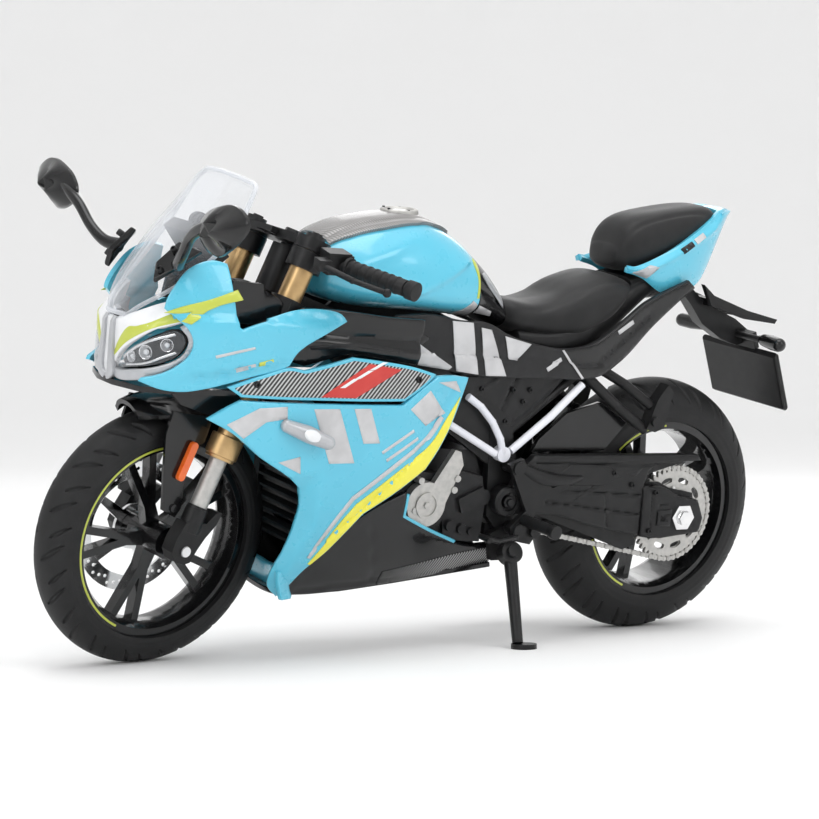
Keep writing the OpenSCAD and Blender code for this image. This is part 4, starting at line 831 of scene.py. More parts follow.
panel("belly_side", BEL, map_belly, "gloss", t=1.1, r=0.3, grid=0.8, slot="black_gloss", replaces=["belly_pan"])
decal("belly_hatch", [(12.0, 17.2, 1), (4, 18.6), (-4, 20.0), (-14.2, 21.0, 1), (-14.6, 17.0, 1), (-4, 15.9), (4, 15.1), (12.0, 14.3, 1)], map_belly, "hatch_dark", off=0.14, grid=0.6)


def strip(name, pts, fmap, w, mat, off=0.0, t=0.5, body="chassis", sides=(1, -1), slot=None):
    """A thin raised edge along a line on a surface."""
    L = outline(pts, 0.8, closed=False)
    T = np.gradient(L, axis=0)
    T /= np.linalg.norm(T, axis=1)[:, None]
    Nn = np.stack([-T[:, 1], T[:, 0]], 1)
    poly = np.concatenate([L + Nn * w / 2, (L - Nn * w / 2)[::-1]])
    return panel(name, poly, fmap, mat, body=body, t=t, r=0.08, off=off, raw=True, sides=sides, slot=slot, grid=5)


# painted highlight: a raised cyan strip along the top edge of the black belly pan stands in for the light that edge
# catches
strip("belly_edge_painted_highlight", [(12.0, 33.8, 1), (11.8, 29.3, 1), (4.9, 26.1), (-2.9, 22.9)], map_belly, 0.55, "cyan", off=0.16)


def belly_floor(u, v):
    x = lerp(33.4, -14.6, u)
    y = lerp(-7.6, 7.6, v) * (1.0 - 0.12 * smooth(0.1, 0, u))
    zb = np.interp(x, [-15, -4, 8, 20, 34], [16.5, 15.4, 14.2, 13.2, 13.0])
    return (x, y, zb - 0.5 * (1 - (2 * v - 1) ** 2))


shell("belly_floor", belly_floor, 40, 14, 1.0, "gloss", bevel=0.2, inward=(0, 0, 1), slot="black_gloss")

# ---------------------------------------------------------------- side covers under the tank
SIDE = [(24.4, 60.2, 1), (15.6, 67.0, 1), (8, 67.3), (1, 66.2), (-5, 65.8), (-10.2, 63.6), (-16, 62.0), (-24, 60.9), (-31, 62.0), (-38, 66.3), (-44, 70.5), (-54.6, 74.9, 1), (-56.6, 73.4, 1), (-51.6, 70.0), (-46, 65.4), (-38.8, 58.6),
        (-33.6, 55.5), (-29, 54.8, 1), (-20, 55.0), (-13, 55.1), (-6, 55.3), (4, 56.6), (14, 58.0), (25.4, 58.7, 1)]
panel("side_cover", SIDE, map_side, "satin2", t=1.1, r=0.35, grid=0.8, slot="black_gloss", replaces=["side_covers"])
decal("side_black_tail", [(-23.6, 60.7, 1), (-31, 61.8), (-38, 66.1), (-44, 70.2), (-54.2, 74.5, 1), (-56.0, 73.5, 1), (-51.6, 70.2), (-46, 65.7), (-38.6, 58.9), (-33.6, 55.8), (-29.2, 55.1, 1)], map_side, "gloss", off=0.03)
decal("side_black_front", [(24.0, 60.4, 1), (15.7, 66.6, 1), (8.2, 62.8, 1), (11.0, 60.6, 1), (16.4, 58.5, 1), (25.0, 58.9, 1)], map_side, "gloss", off=0.03)
decal("side_white_line", [(-23.0, 60.7, 1), (-23.5, 60.8, 1), (-29.1, 55.2, 1), (-28.6, 55.0, 1)], map_side, "silver", off=0.22, grid=0.5)
for nm, q in (("a", [(15.6, 60.4), (11.6, 62.4), (2.6, 57.4), (3.4, 56.8), (14.8, 58.3)]), ("b", [(3.6, 66.2), (-1.2, 65.9), (-3.6, 55.9), (1.6, 56.6)]),
              ("c", [(-3.2, 65.0), (-5.6, 64.6), (-10.2, 55.6), (-5.4, 55.7)]), ("d", [(-9.0, 63.4), (-15.4, 61.9), (-12.4, 58.6), (-10.6, 58.8)])):
    decal("side_bar_" + nm, [(x, z, 1) for x, z in q], map_side, "silver", off=0.22, grid=0.5)
for k, (x, z, w) in enumerate(((-19.6, 57.2, 3.4), (-36.6, 64.6, 3.6))):
    decal("side_small_%d" % k, [(x, z, 1), (x - w, z + w * 0.62, 1), (x - w - 0.5, z + w * 0.62 - 0.7, 1), (x - 0.5, z - 0.7, 1)], map_side, "silver", off=0.22, grid=0.5)

# ---------------------------------------------------------------- nose
panel("nose_white", [(1.6, 54.6, 1), (1.2, 58), (1.2, 62), (1.4, 64.6, 1), (3.4, 65.2), (6.0, 66.4), (9.6, 68.4), (12.2, 69.4, 1), (13.1, 67.4), (13.5, 65.6, 1), (11.0, 63.8), (8.6, 61.9), (5.6, 59.7), (3.4, 57.6), (2.2, 55.2, 1)], map_nose, "white",
      t=1.1, r=0.25, grid=1.0, hint=(1, 0, 0), slot="white_gloss", replaces=["nose_panel"])
decal("nose_lime", [(2.3, 57.4, 1), (2.9, 59.2), (4.4, 61.6), (6.2, 63.4), (7.7, 63.7), (9.4, 64.5), (11.2, 66.2), (12.3, 67.2, 1), (13.3, 65.6, 1), (10.6, 63.9), (8.2, 62.2), (5.4, 60.2), (3.2, 58.2)], map_nose, "lime", hint=(1, 0, 0), grid=0.8)
panel("nose_surround", [(13.2, 64.6, 1), (14.2, 66.0, 1), (14.7, 64.4), (14.9, 62.6), (14.7, 60.8), (13.9, 58.6), (12.0, 56.2), (9.6, 54.6), (6.0, 53.7), (3.2, 53.6), (2.2, 54.0, 1), (2.3, 55.5, 1), (4.4, 55.4), (7.6, 56.0), (11.0, 57.0), (13.3, 58.7),
                        (14.2, 61.2), (14.05, 63.1)], map_nose, "grey", t=1.6, r=0.28, off=0.1, grid=0.7, hint=(1, 0, 0), slot="grey_gloss")
panel("nose_centre_white", [(-1.1, 53.8), (1.1, 53.8), (1.5, 56), (1.4, 64), (1.5, 64.5, 1), (-1.5, 64.5, 1), (-1.4, 64), (-1.5, 56)], map_nose, "white", t=1.1, r=0.2, off=0.1, grid=0.8, hint=(1, 0, 0), sides=(1,), slot="white_gloss")


def beak(s):
    """The silver bow that frames the middle of the nose on each side."""
    return [(1.4, 70.8), (1.2, 66.0), (1.1, 60.0), (1.3, 55.6), (2.0, 53.6), (3.0, 53.3)]


panel("beak_bow", [(1.15, 64.3, 1), (1.05, 62), (1.0, 60), (1.1, 56), (0.9, 54.6), (0.0, 54.0), (0.0, 53.2), (1.6, 53.2), (2.9, 54.2), (2.8, 56.5), (2.3, 60), (2.1, 62), (2.0, 64.3, 1)], map_nose, "grey", t=1.0, r=0.3, off=0.75, grid=0.6,
      hint=(1, 0, 0), slot="grey_gloss", replaces=["nose_trim"])
LENS = [(2.9, 57.0, 1), (6.2, 59.5), (9.0, 61.5), (11.2, 62.9), (13.2, 63.9), (14.0, 63.0), (14.15, 61.2), (13.2, 58.8), (11.0, 57.2), (7.6, 56.2), (4.4, 55.6, 1)]
panel("lamp_housing", LENS, map_nose, "dark", t=0.5, r=0.1, off=-1.6, hint=(1, 0, 0), grid=0.9)
LENS_IN = inset(outline(LENS, 0.6), 0.25)
panel("lamp_lens", LENS_IN, map_nose, "lens", t=0.35, r=0.12, off=0.02, hint=(1, 0, 0), grid=0.7, raw=True, slot="lamp_lens", replaces=["headlights"])
strip("lamp_brow", [(4.2, 57.6, 1), (8.6, 60.6), (13.0, 63.0, 1)], map_nose, 0.5, "chrome", off=-0.8, t=0.5)
strip("lamp_lower_bar", [(5.0, 56.4, 1), (9.6, 57.4), (13.2, 59.8, 1)], map_nose, 0.45, "chrome", off=-0.9, t=0.4)
for k, (y, z, r_) in enumerate(((6.6, 58.1, 0.95), (9.4, 59.3, 1.15), (12.2, 61.0, 1.05))):
    P_, N_ = map_normals(map_nose, [(y, z)], (1, 0, 0))
    for s in (1, -1):
        pos = P_[0] - N_[0] * 1.1
        pos[1] *= s
        q = Vector((0, 1, 0)).rotation_difference(Vector((N_[0][0], N_[0][1] * s, N_[0][2]))).to_matrix().to_4x4()
        lathe("lamp_bowl_%d_%s" % (k, "left" if s > 0 else "right"), [(0.0001, -0.55), (r_ * 0.5, -0.5), (r_ * 0.85, -0.2), (r_, 0.3), (r_ * 1.12, 0.34), (r_ * 1.12, 0.1), (r_ * 0.9, -0.6), (0.0001, -0.7)], "chrome", "chassis", pos, n=28, rot=q)
        lathe("lamp_bulb_%d_%s" % (k, "left" if s > 0 else "right"), [(0.0001, 0.32), (r_ * 0.3, 0.26), (r_ * 0.45, 0.05), (r_ * 0.4, -0.3), (0.0001, -0.4)], "white", "chassis", pos, n=20, rot=q)


# ---------------------------------------------------------------- tank and its covers
TK = [[30.6, 70.6, 77.4, 7.0, 73.0], [29.4, 69.3, 79.6, 9.0, 72.8], [25, 68.0, 82.0, 11.2, 72.4], [18, 67.2, 83.8, 12.2, 72.0], [10, 66.9, 84.6, 12.5, 71.8], [4.4, 66.5, 83.2, 12.2, 71.4], [0, 66.2, 81.2, 11.4, 71.0],
      [-3, 66.0, 79.0, 10.6, 70.6], [-6.8, 64.8, 76.2, 8.8, 69.4], [-10, 64.0, 73.2, 7.2, 68.4], [-12.8, 63.6, 70.0, 6.0, 66.6]]
TK_S = np.linspace(0, 10, 801)
TK_R = np.array([spline(TK, s) for s in TK_S])
TK_X = np.minimum.accumulate(TK_R[:, 0])


def tank_row(x):
    return np.array([np.interp(-x, -TK_X, TK_R[:, k]) for k in range(5)])


def tank_crease(x, y, z):
    a = abs(y)
    s1, t1 = seg_dist((x, z), (-1.4, 77.6), (12.4, 70.6))
    d = -0.55 * math.exp(-max(s1, 0) / 2.2) * smooth(-0.3, 0.3, s1) * smooth(-0.1, 0.15, t1) * (1 - smooth(0.85, 1.15, t1))
    s2, t2 = seg_dist((x, z), (8.0, 83.0), (28.0, 74.6))
    d += -0.35 * math.exp(-(s2 / 1.3) ** 2) * smooth(-0.05, 0.2, t2) * (1 - smooth(0.8, 1.1, t2))
    return (x, y + (math.copysign(d, y) if a > 5 else 0), z)


loft("tank_shell", TK[:8], "cyan", rows=90, n=150, k=2.3, disp=tank_crease, slot="cyan_paint", replaces=["tank"], bevel=0.3)
loft("tank_rear_cap", TK, "gloss", rows=40, n=120, k=2.3, s0=7.03, s1=10, slot="black_gloss", replaces=["tank_rear_cover"], bevel=0.4,
     disp=lambda x, y, z: (x, y * (1 - 0.05 * math.exp(-((z - 72.5 - (x + 3) * 0.5) / 0.7) ** 2)), z))


def map_tank(x, z):
    r = tank_row(x)
    h = (r[2] - r[4]) if z > r[4] else (r[4] - r[1])
    q = min(0.999, abs(z - r[4]) / h)
    y = r[3] * (1 - q ** 2.3) ** (1 / 2.3)
    return (x, tank_crease(x, y, z)[1], z)


decal("tank_silver_patch", [(0.9, 67.2, 1), (-1.2, 70.0, 1), (-2.7, 69.2, 1), (-2.8, 66.6, 1), (0.2, 66.5, 1)], map_tank, "silver", off=0.1)
decal("tank_rear_line", [(-2.1, 77.6), (-2.35, 74.0), (-2.1, 70.4, 1), (-2.7, 70.4, 1), (-2.9, 74.0), (-2.7, 77.4)], map_tank, "lime", off=0.05)
decal("rear_cap_silver", [(-4.0, 74.8, 1), (-6.2, 72.2), (-9.2, 69.8), (-11.4, 68.0, 1), (-11.0, 69.6), (-8.6, 71.8), (-5.4, 75.0, 1)], map_tank, "grey", off=0.12)
decal("rear_cap_bar", [(-3.4, 69.0, 1), (-7.6, 67.6, 1), (-7.9, 66.6, 1), (-3.4, 67.4, 1)], map_tank, "silver", off=0.1)


def top_cover(u, v):
    x = lerp(29.0, 0.2, u)
    r = tank_row(x)
    wc = np.interp(x, [0, 4.4, 10, 18, 25, 29.4], [1.9, 4.6, 6.8, 7.4, 7.2, 6.2])
    b = 2 * v - 1
    y = wc * b
    c = abs(y) / r[3]
    z = r[4] + (r[2] - r[4]) * (1 - c ** 2.3) ** (1 / 2.3)
    return (x, y, z + 0.78 - 0.3 * math.exp(-(abs(b) - 0.72) ** 2 / 0.006))


shell("tank_top_look", top_cover, 60, 36, 0.7, "carbon", bevel=0.28, inward=(0, 0, -1), slot="carbon_look", replaces=["tank_top_cover"])


def cap_ring(name, prof, mat):
    return lathe(name, prof, mat, "chassis", (10.4, 0, 84.75), n=64, rot=Matrix.Rotation(rad(3), 4, "Y") @ Matrix.Rotation(rad(90), 4, "X"))


CAPP = [(0.0001, 0.15), (2.3, 0.15), (2.55, 0.55), (2.9, 0.95), (3.3, 1.0), (3.62, 0.8), (3.72, 0.3), (3.72, -0.3), (0.0001, -0.3)]
lathe("fuel_cap_body", CAPP, "metal", "chassis", (10.4, 0, 84.75), n=64, rot=Matrix.Rotation(rad(3), 4, "Y") @ Matrix.Rotation(rad(90), 4, "X"), slot="silver_metal", replaces=["fuel_cap"])
lathe("fuel_cap_middle", [(0.0001, 0.75), (1.3, 0.72), (1.55, 0.55), (1.6, 0.1), (0.0001, 0.1)], "steel", "chassis", (10.4, 0, 84.75), n=48, rot=Matrix.Rotation(rad(3), 4, "Y") @ Matrix.Rotation(rad(90), 4, "X"))
for i in range(5):
    a = rad(72 * i + 20)
    lathe("fuel_cap_screw_%d" % i, [(0.0001, 1.05), (0.2, 1.04), (0.3, 0.95), (0.3, 0.6), (0.0001, 0.6)], "dark", "chassis", (10.4 + 3.15 * math.cos(a), 3.15 * math.sin(a), 84.8), n=16, rot=Matrix.Rotation(rad(3), 4, "Y") @ Matrix.Rotation(rad(90), 4, "X"))

# ---------------------------------------------------------------- seats
RS = [[-13.3, 63.8, 69.4, 5.2, 66], [-15.4, 62.8, 69.5, 6.8, 65.8], [-20, 62.0, 69.3, 7.9, 65.8], [-25, 61.5, 70.6, 9.1, 66.2], [-30, 61.9, 73.2, 9.8, 67.6], [-35, 63.9, 74.9, 9.6, 69.4], [-39, 66.9, 75.0, 8.7, 71.2], [-41.6, 69.6, 74.2, 7.4, 72]]


def seat_soft(x, y, z):
    a = abs(y)
    top = smooth(67, 72, z)
    edge = math.exp(-((a - 7.2) / 0.7) ** 2) * smooth(64, 67, z)
    side = 0.25 * math.sin(x * 0.55 + 1.0) * math.sin(a * 0.9) * 0.4
    dip = -0.55 * math.exp(-((x + 22) / 5) ** 2) * math.exp(-(a / 5) ** 2)
    return (x, y * (1 + 0.012 * math.sin(x * 0.8)), z - 0.28 * edge + side * 0.5 + dip * top)


s_r = loft("rider_seat_pad", RS, "seat", rows=84, n=140, k=2.7, dome=1.2, disp=seat_soft, slot="seat_black", replaces=["rider_seat"])
PS = [[-39.6, 76.4, 81.0, 4.6, 79], [-41.0, 75.6, 84.4, 6.2, 79.6], [-44, 75.8, 86.7, 6.9, 80.4], [-50, 77.8, 88.2, 7.1, 82.6], [-57, 80.8, 89.3, 6.6, 85.2], [-62, 83.8, 89.5, 5.3, 87.0], [-64.6, 85.8, 88.4, 3.4, 87.1]]


def pill_soft(x, y, z):
    a = abs(y)
    groove = math.exp(-((a - 5.6) / 0.45) ** 2) * smooth(80, 84, z + (x + 50) * 0.35)
    return (x, y, z - 0.3 * groove - 0.25 * math.exp(-((x + 52) / 6) ** 2) * math.exp(-(a / 3) ** 2))


s_p = loft("pillion_seat_pad", PS, "seat", rows=72, n=130, k=2.9, dome=1.1, disp=pill_soft, slot="seat_black", replaces=["pillion_seat"])

# ---------------------------------------------------------------- tail
CA = [[-39.2, 77.0], [-42, 77.4], [-47, 79.4], [-52, 81.8], [-57.4, 84.8], [-61.6, 87.2], [-65.4, 89.2], [-69.8, 88.9]]
CB = [[-39.6, 75.9], [-43.8, 74.8], [-48.6, 72.2], [-52.6, 71.6], [-57.2, 72.8], [-61.0, 74.8], [-64.8, 80.4], [-69.6, 87.4]]
CW = [[8.9], [9.4], [9.5], [9.2], [8.4], [7.2], [5.6], [2.2]]


def tail_side(u, v):
    s = u * 7
    a, b, w = spline(CA, s), spline(CB, s), spline(CW, s)[0]
    x, z = a[0] + (b[0] - a[0]) * v, a[1] + (b[1] - a[1]) * v
    y = w - 1.0 * (1 - smooth(0, 0.2, v)) - 1.6 * v * v
    s1, t1 = seg_dist((x, z), (-64, 86.2), (-43, 76.0))
    y += 0.35 * math.exp(-(s1 / 0.6) ** 2) * smooth(0, 0.1, t1) * (1 - smooth(0.9, 1, t1))
    return (x, y, z)


shell("tail_side", tail_side, 70, 26, 1.0, "cyan", bevel=0.3, sides=(1, -1), slot="cyan_paint", replaces=["tail_cowl"])


def tail_top(u, v):
    s = u * 3
    w = np.interp(s, [0, 1, 2, 3], [5.8, 4.4, 3.0, 1.4])
    b = 2 * v - 1
    return (-64.6 - 1.8 * s, w * b, np.interp(s, [0, 1, 2, 3], [88.9, 89.2, 89.1, 88.8]) - 0.6 * b * b + 0.15 * math.cos(b * 1.5))


shell("tail_top", tail_top, 20, 20, 1.5, "cyan", bevel=0.35, inward=(0, 0, -1), slot="cyan_paint")
TS = np.array([[tail_side(i / 200, j / 40) for j in range(41)] for i in range(201)])


def map_tail(x, z):
    d = (TS[..., 0] - x) ** 2 + (TS[..., 2] - z) ** 2
    i = np.argsort(d.ravel())[:6]
    w = 1 / (d.ravel()[i] + 1e-3)
    return (x, float(np.sum(TS[..., 1].ravel()[i] * w) / np.sum(w)), z)


decal("tail_grey_insert", [(-40.6, 76.0, 1), (-44.4, 77.6, 1), (-46.4, 77.4, 1), (-44.4, 75.0, 1)], map_tail, "grey", off=0.14, grid=0.8)
decal("tail_dark_slash", [(-52.2, 81.0, 1), (-55.2, 82.6, 1), (-55.6, 81.8, 1), (-52.8, 80.2, 1)], map_tail, "dark", off=0.14, grid=0.8)
decal("tail_light_slash", [(-55.8, 83.0, 1), (-58.4, 84.4, 1), (-58.8, 83.6, 1), (-56.3, 82.2, 1)], map_tail, "silver", off=0.14, grid=0.8)

# ---------------------------------------------------------------- windscreen
WSR = [[64.9, 68.8, 3.4, 0.8], [67.5, 68.4, 6.2, 2.4], [70.5, 67.2, 9.0, 4.6], [73.5, 65.4, 10.8, 6.3], [76.5, 63.2, 11.6, 6.7], [80, 60.4, 12.5, 6.7], [84, 56.8, 12.3, 5.3], [88, 53.2, 11.7, 3.6], [90.4, 51.2, 11.0, 2.7], [91.3, 50.5, 9.6, 2.2]]


def screen_at(u, v):
    s = u * 9
    r = spline(WSR, s)
    b = 2 * v - 1
    dz = (1.4 * (s - 3) / 6 if s > 3 else 0) * b * b
    ridge = 0.32 * smooth(0.54, 0.62, abs(b)) * smooth(0.08, 0.2, u)
    return (r[1] - r[3] * pw(abs(b), 2.2) - ridge, r[2] * b, r[0] - dz)


shell("screen_body", screen_at, 54, 60, 0.9, "screen", bevel=0.3, inward=(-1, 0, -0.3), slot="clear_plastic", replaces=["windscreen"])

# ---------------------------------------------------------------- tyres
def tyre_look(name, R, w, rimr, cx, cz, node, pitch_n):
    NU, NV = 720, 76
    q = w / 2 + 0.1
    cr = R - w / 2 - 0.1
    a1 = math.acos((rimr + 0.05 - cr) / q) if abs((rimr - cr) / q) < 1 else rad(110)
    P = []
    for i in range(NU):
        th = 2 * math.pi * i / NU
        row = []
        for j in range(NV + 1):
            b = lerp(-a1, a1, j / NV)
            d = 0.0
            ab = abs(b)
            # slanted shoulder cuts, in pairs, mirrored and half a step apart
            sgn_ = 1 if b > 0 else -1
            ph = (th / (2 * math.pi) * pitch_n + (0.5 if b > 0 else 0)) % 1.0
            for (c0, sl, b0, b1, wd) in ((0.22, 0.42, 0.22, 1.12, 0.052), (0.60, 0.42, 0.50, 1.22, 0.045)):
                if b0 < ab < b1:
                    c = (c0 + sl * (ab - 0.2)) % 1.0
                    e = abs((ph - c + 0.5) % 1.0 - 0.5)
                    t = (ab - b0) / (b1 - b0)
                    ww = wd * (0.35 + 1.1 * math.sin(math.pi * min(1, max(0, t)) ** 0.8))
                    d = max(d, smooth(ww, ww * 0.55, e))
            lip = 0.10 * math.exp(-((ab - (a1 - 0.34)) / 0.03) ** 2) + 0.08 * math.exp(-((ab - (a1 - 0.16)) / 0.025) ** 2)
            rr = q - 0.34 * d + lip
            rad_, yy = cr + rr * math.cos(b), rr * math.sin(b)
            row.append((cx + rad_ * math.cos(th), yy, cz + rad_ * math.sin(th)))
        # inner wall back to the other side, under the rim edge
        yl = row[-1][1]
        for (rr2, yk) in ((rimr + 0.02, yl * 0.96), (rimr + 0.02, yl * 0.7), (rimr + 0.02, -yl * 0.7), (rimr + 0.02, -yl * 0.96)):
            row.append((cx + rr2 * math.cos(th), yk, cz + rr2 * math.sin(th)))
        P.append(row)
    o = link(name, grid_mesh(name, P, closed_u=True, closed_v=True))
    fix_normals(o)
    DONE.add(node)
    finish_piece(o, "rubber", BODY[node], 40, weighted=False, slot="tyre_rubber", replaces=[node])


tyre_look("front_tyre_tread", 24.14, 9.2, 18.4, FX, FZ, "front_tyre", 17)
tyre_look("rear_tyre_tread", 26.6, 13.6, 18.4, RX, RZ, "rear_tyre", 18)


def arc_band(name, cx, cz, y0, r0, r1, a0, a1, mat, body, t=0.06, n=90):
    """Thin painted arc lying on the rim edge."""
    P = []
    for i in range(n + 1):
        a = rad(lerp(a0, a1, i / n))
        P.append([(cx + r * math.cos(a), y, cz + r * math.sin(a)) for r, y in ((r0, y0), (r1, y0), (r1, y0 + t), (r0, y0 + t))])
    full = abs(abs(a1 - a0) - 360) < 1e-6
    if full:
        P = P[:-1]
    o = link(name, grid_mesh(name, P, closed_u=full, closed_v=True, caps=not full))
    fix_normals(o)
    return finish_piece(o, mat, body, 30)


for s, tag in ((1, "left"), (-1, "right")):
    for k, (a0, a1) in enumerate(((-62, 96),)):
        arc_band("front_rim_line_%s_%d" % (tag, k), FX, FZ, 3.62 if s > 0 else -3.68, 17.35, 17.75, a0, a1, "lime", "front_wheel")
    for k, (a0, a1) in enumerate(((46, 88), (-66, -20))):
        arc_band("rear_rim_line_%s_%d" % (tag, k), RX, RZ, 6.02 if s > 0 else -6.08, 17.35, 17.75, a0, a1, "lime", "rear_wheel")

# ---------------------------------------------------------------- chain and sprocket
def stadium(c, d, half, r, y0, y1, bm, n=8):
    """A chain plate: two round ends joined, in the plane of the wheel."""
    dx, dz = d
    pts = []
    for k in range(n + 1):
        a = -math.pi / 2 + math.pi * k / n
        pts.append((half + r * math.cos(a), r * math.sin(a)))
    for k in range(3):
        pts.append((lerp(half * 0.4, -half * 0.4, k / 2), r * 0.72))
    for k in range(n + 1):
        a = math.pi / 2 + math.pi * k / n
        pts.append((-half + r * math.cos(a), r * math.sin(a)))
    for k in range(3):
        pts.append((lerp(-half * 0.4, half * 0.4, k / 2), -r * 0.72))
    lo = [bm.verts.new((c[0] + p * dx - q * dz, y0, c[1] + p * dz + q * dx)) for p, q in pts]
    hi = [bm.verts.new((c[0] + p * dx - q * dz, y1, c[1] + p * dz + q * dx)) for p, q in pts]
    m = len(pts)
    bm.faces.new(lo[::-1])
    bm.faces.new(hi)
    for i in range(m):
        bm.faces.new((lo[i], lo[(i + 1) % m], hi[(i + 1) % m], hi[i]))


def chain_path():
    pts = []
    A, B = (-20.8, 34.35), (RX + 1.0, RZ + 9.6)
    for k in range(101):
        pts.append((lerp(A[0], B[0], k / 100), lerp(A[1], B[1], k / 100)))
    for k in range(1, 120):
        a = rad(84 + (192 * k / 120))
        pts.append((RX + 9.65 * math.cos(a), RZ + 9.65 * math.sin(a)))
    A, B = (RX + 1.4, RZ - 9.55), (-20.8, 24.55)
    for k in range(101):
        pts.append((lerp(A[0], B[0], k / 100), lerp(A[1], B[1], k / 100)))
    P = np.array(pts)
    d = np.concatenate([[0], np.cumsum(np.linalg.norm(np.diff(P, axis=0), axis=1))])
    n = int(d[-1] / 1.22)
    s = np.linspace(0, d[-1], n + 1)
    return np.stack([np.interp(s, d, P[:, 0]), np.interp(s, d, P[:, 1])], 1)


bm = bmesh.new()
CP = chain_path()
for i in range(len(CP) - 1):
    c = (CP[i] + CP[i + 1]) / 2
    d = CP[i + 1] - CP[i]
    d /= np.linalg.norm(d)
    if i % 2:
        stadium(c, d, 0.61, 0.52, 9.22, 9.40, bm)
        stadium(c, d, 0.61, 0.52, 10.20, 10.38, bm)
    else:
        stadium(c, d, 0.61, 0.50, 9.42, 9.58, bm)
        stadium(c, d, 0.61, 0.50, 10.02, 10.18, bm)
for p in CP:
    v = []
    for y in (9.16, 10.46):
        v.append([bm.verts.new((p[0] + 0.24 * math.cos(a * math.pi / 5), y, p[1] + 0.24 * math.sin(a * math.pi / 5))) for a in range(10)])
    bm.faces.new(v[0][::-1])
    bm.faces.new(v[1])
    for k in range(10):
        bm.faces.new((v[0][k], v[0][(k + 1) % 10], v[1][(k + 1) % 10], v[1][k]))
o = obj_from_bm("chain_links", bm)
fix_normals(o)
finish_piece(o, "metal", "swingarm", 30, slot="silver_metal")


def sprocket():
    cu = bpy.data.curves.new("sprocket_outline", "CURVE")
    cu.dimensions = "2D"
    cu.fill_mode = "BOTH"
    cu.extrude = 0.34
    cu.bevel_depth = 0.08
    cu.bevel_resolution = 2

    def poly(pts):
        sp = cu.splines.new("POLY")
        sp.points.add(len(pts) - 1)
        for p, q in zip(sp.points, pts):
            p.co = (q[0], q[1], 0, 1)
        sp.use_cyclic_u = True
    T = 46
    out = []
    for i in range(T):
        for f, r in ((0.0, 9.85), (0.16, 9.7), (0.30, 9.1), (0.5, 8.85), (0.70, 9.1), (0.84, 9.7)):
            a = 2 * math.pi * (i + f) / T
            out.append((r * math.cos(a), r * math.sin(a)))
    poly(out)
    for i in range(10):
        a0 = 36 * i
        s_ = []
        for (r, da) in ((6.6, -12), (7.0, -13.4), (7.5, -12), (7.7, -6), (7.8, 0), (7.7, 6), (7.5, 12), (7.0, 13.4), (6.6, 12), (6.45, 6), (6.4, 0), (6.45, -6)):
            a = rad(a0 + da * 0.9)
            s_.append((r * math.cos(a), r * math.sin(a)))
        poly(s_)
    poly([(4.6 * math.cos(2 * math.pi * k / 48), 4.6 * math.sin(2 * math.pi * k / 48)) for k in range(48)])
    ob = bpy.data.objects.new("sprocket_tmp", cu)
    bpy.context.scene.collection.objects.link(ob)
    me = bpy.data.meshes.new_from_object(ob.evaluated_get(bpy.context.evaluated_depsgraph_get()))
    bpy.data.objects.remove(ob)
    me.transform(Matrix.Translation((RX, 9.8, RZ)) @ Matrix.Rotation(rad(90), 4, "X"))
    o = link("sprocket_plate", me)
    bm = bmesh.new()
    bm.from_mesh(me)
    bmesh.ops.remove_doubles(bm, verts=bm.verts, dist=0.001)
    bm.to_mesh(me)
    bm.free()
    finish_piece(o, "metal", "swingarm", 30, slot="silver_metal", replaces=["chain_and_sprocket"])
    DONE.add("chain_and_sprocket")


sprocket()
lathe("sprocket_carrier", [(3.2, -0.5), (4.9, -0.5), (4.95, 0.5), (4.4, 0.75), (3.4, 0.8), (3.2, 0.6)], "satin", "swingarm", (RX, 9.8, RZ), n=64)
for i in range(5):
    a = rad(72 * i + 12)
    lathe("sprocket_bolt_%d" % i, [(0.0001, 0.95), (0.3, 0.95), (0.42, 0.82), (0.44, 0.3), (0.0001, 0.3)], "steel", "swingarm", (RX + 5.5 * math.cos(a), 9.9, RZ + 5.5 * math.sin(a)), n=16)


# ---------------------------------------------------------------- small corrections to single pieces
def reuse(node, mat=None, bevel=0.15, seg=2, **kw):
    DONE.add(node)
    return from_node(node, node + "_look", mat, bevel, seg, **kw)


reuse("front_indicators", "grey", bevel=0.3, seg=3)
for s in (1, -1):
    tag = "left" if s > 0 else "right"
    lathe("indicator_lens_" + tag, [(0.0001, 0.4), (0.5, 0.34), (0.95, 0.1), (1.1, -0.3), (0.0001, -0.4)], "white", "chassis", (37.2, 21.0 * s, 46.4), n=32,
          rot=Matrix.Rotation(0 if s > 0 else rad(180), 4, "X") @ Matrix.Scale(1.7, 4, (0.94, 0, 0.34)))


# ---------------------------------------------------------------- glossy inner panel behind the upper fairing tail
def duct_in(x, z):
    y = 14.7 + 0.5 * math.sin((x - 12) * 0.16) - 0.7 * math.exp(-((z - 63.4 - (x - 24) * 0.06) / 0.8) ** 2)
    y += 0.5 * math.exp(-((z - 61.2 - (x - 24) * 0.10) / 0.9) ** 2)
    return (x, y, z)


DUCT = [(41.2, 60.6, 1), (39.6, 58.9), (36.4, 57.9, 1), (27.4, 60.3, 1), (12.2, 58.2, 1), (11.4, 66.7, 1), (20, 67.2), (30, 68.2), (38, 68.4, 1), (39, 64.2), (41.2, 61.4, 1)]
panel("air_duct_panel", DUCT, duct_in, "gloss", t=1.2, r=0.3, grid=0.8, slot="black_gloss", replaces=["air_ducts"])
decal("air_duct_sheen", [(36.0, 61.6, 1), (26.0, 62.4, 1), (17.0, 61.2, 1), (17.4, 60.7, 1), (26.4, 61.7, 1), (35.6, 60.9, 1)], duct_in, "satin2", off=0.02)


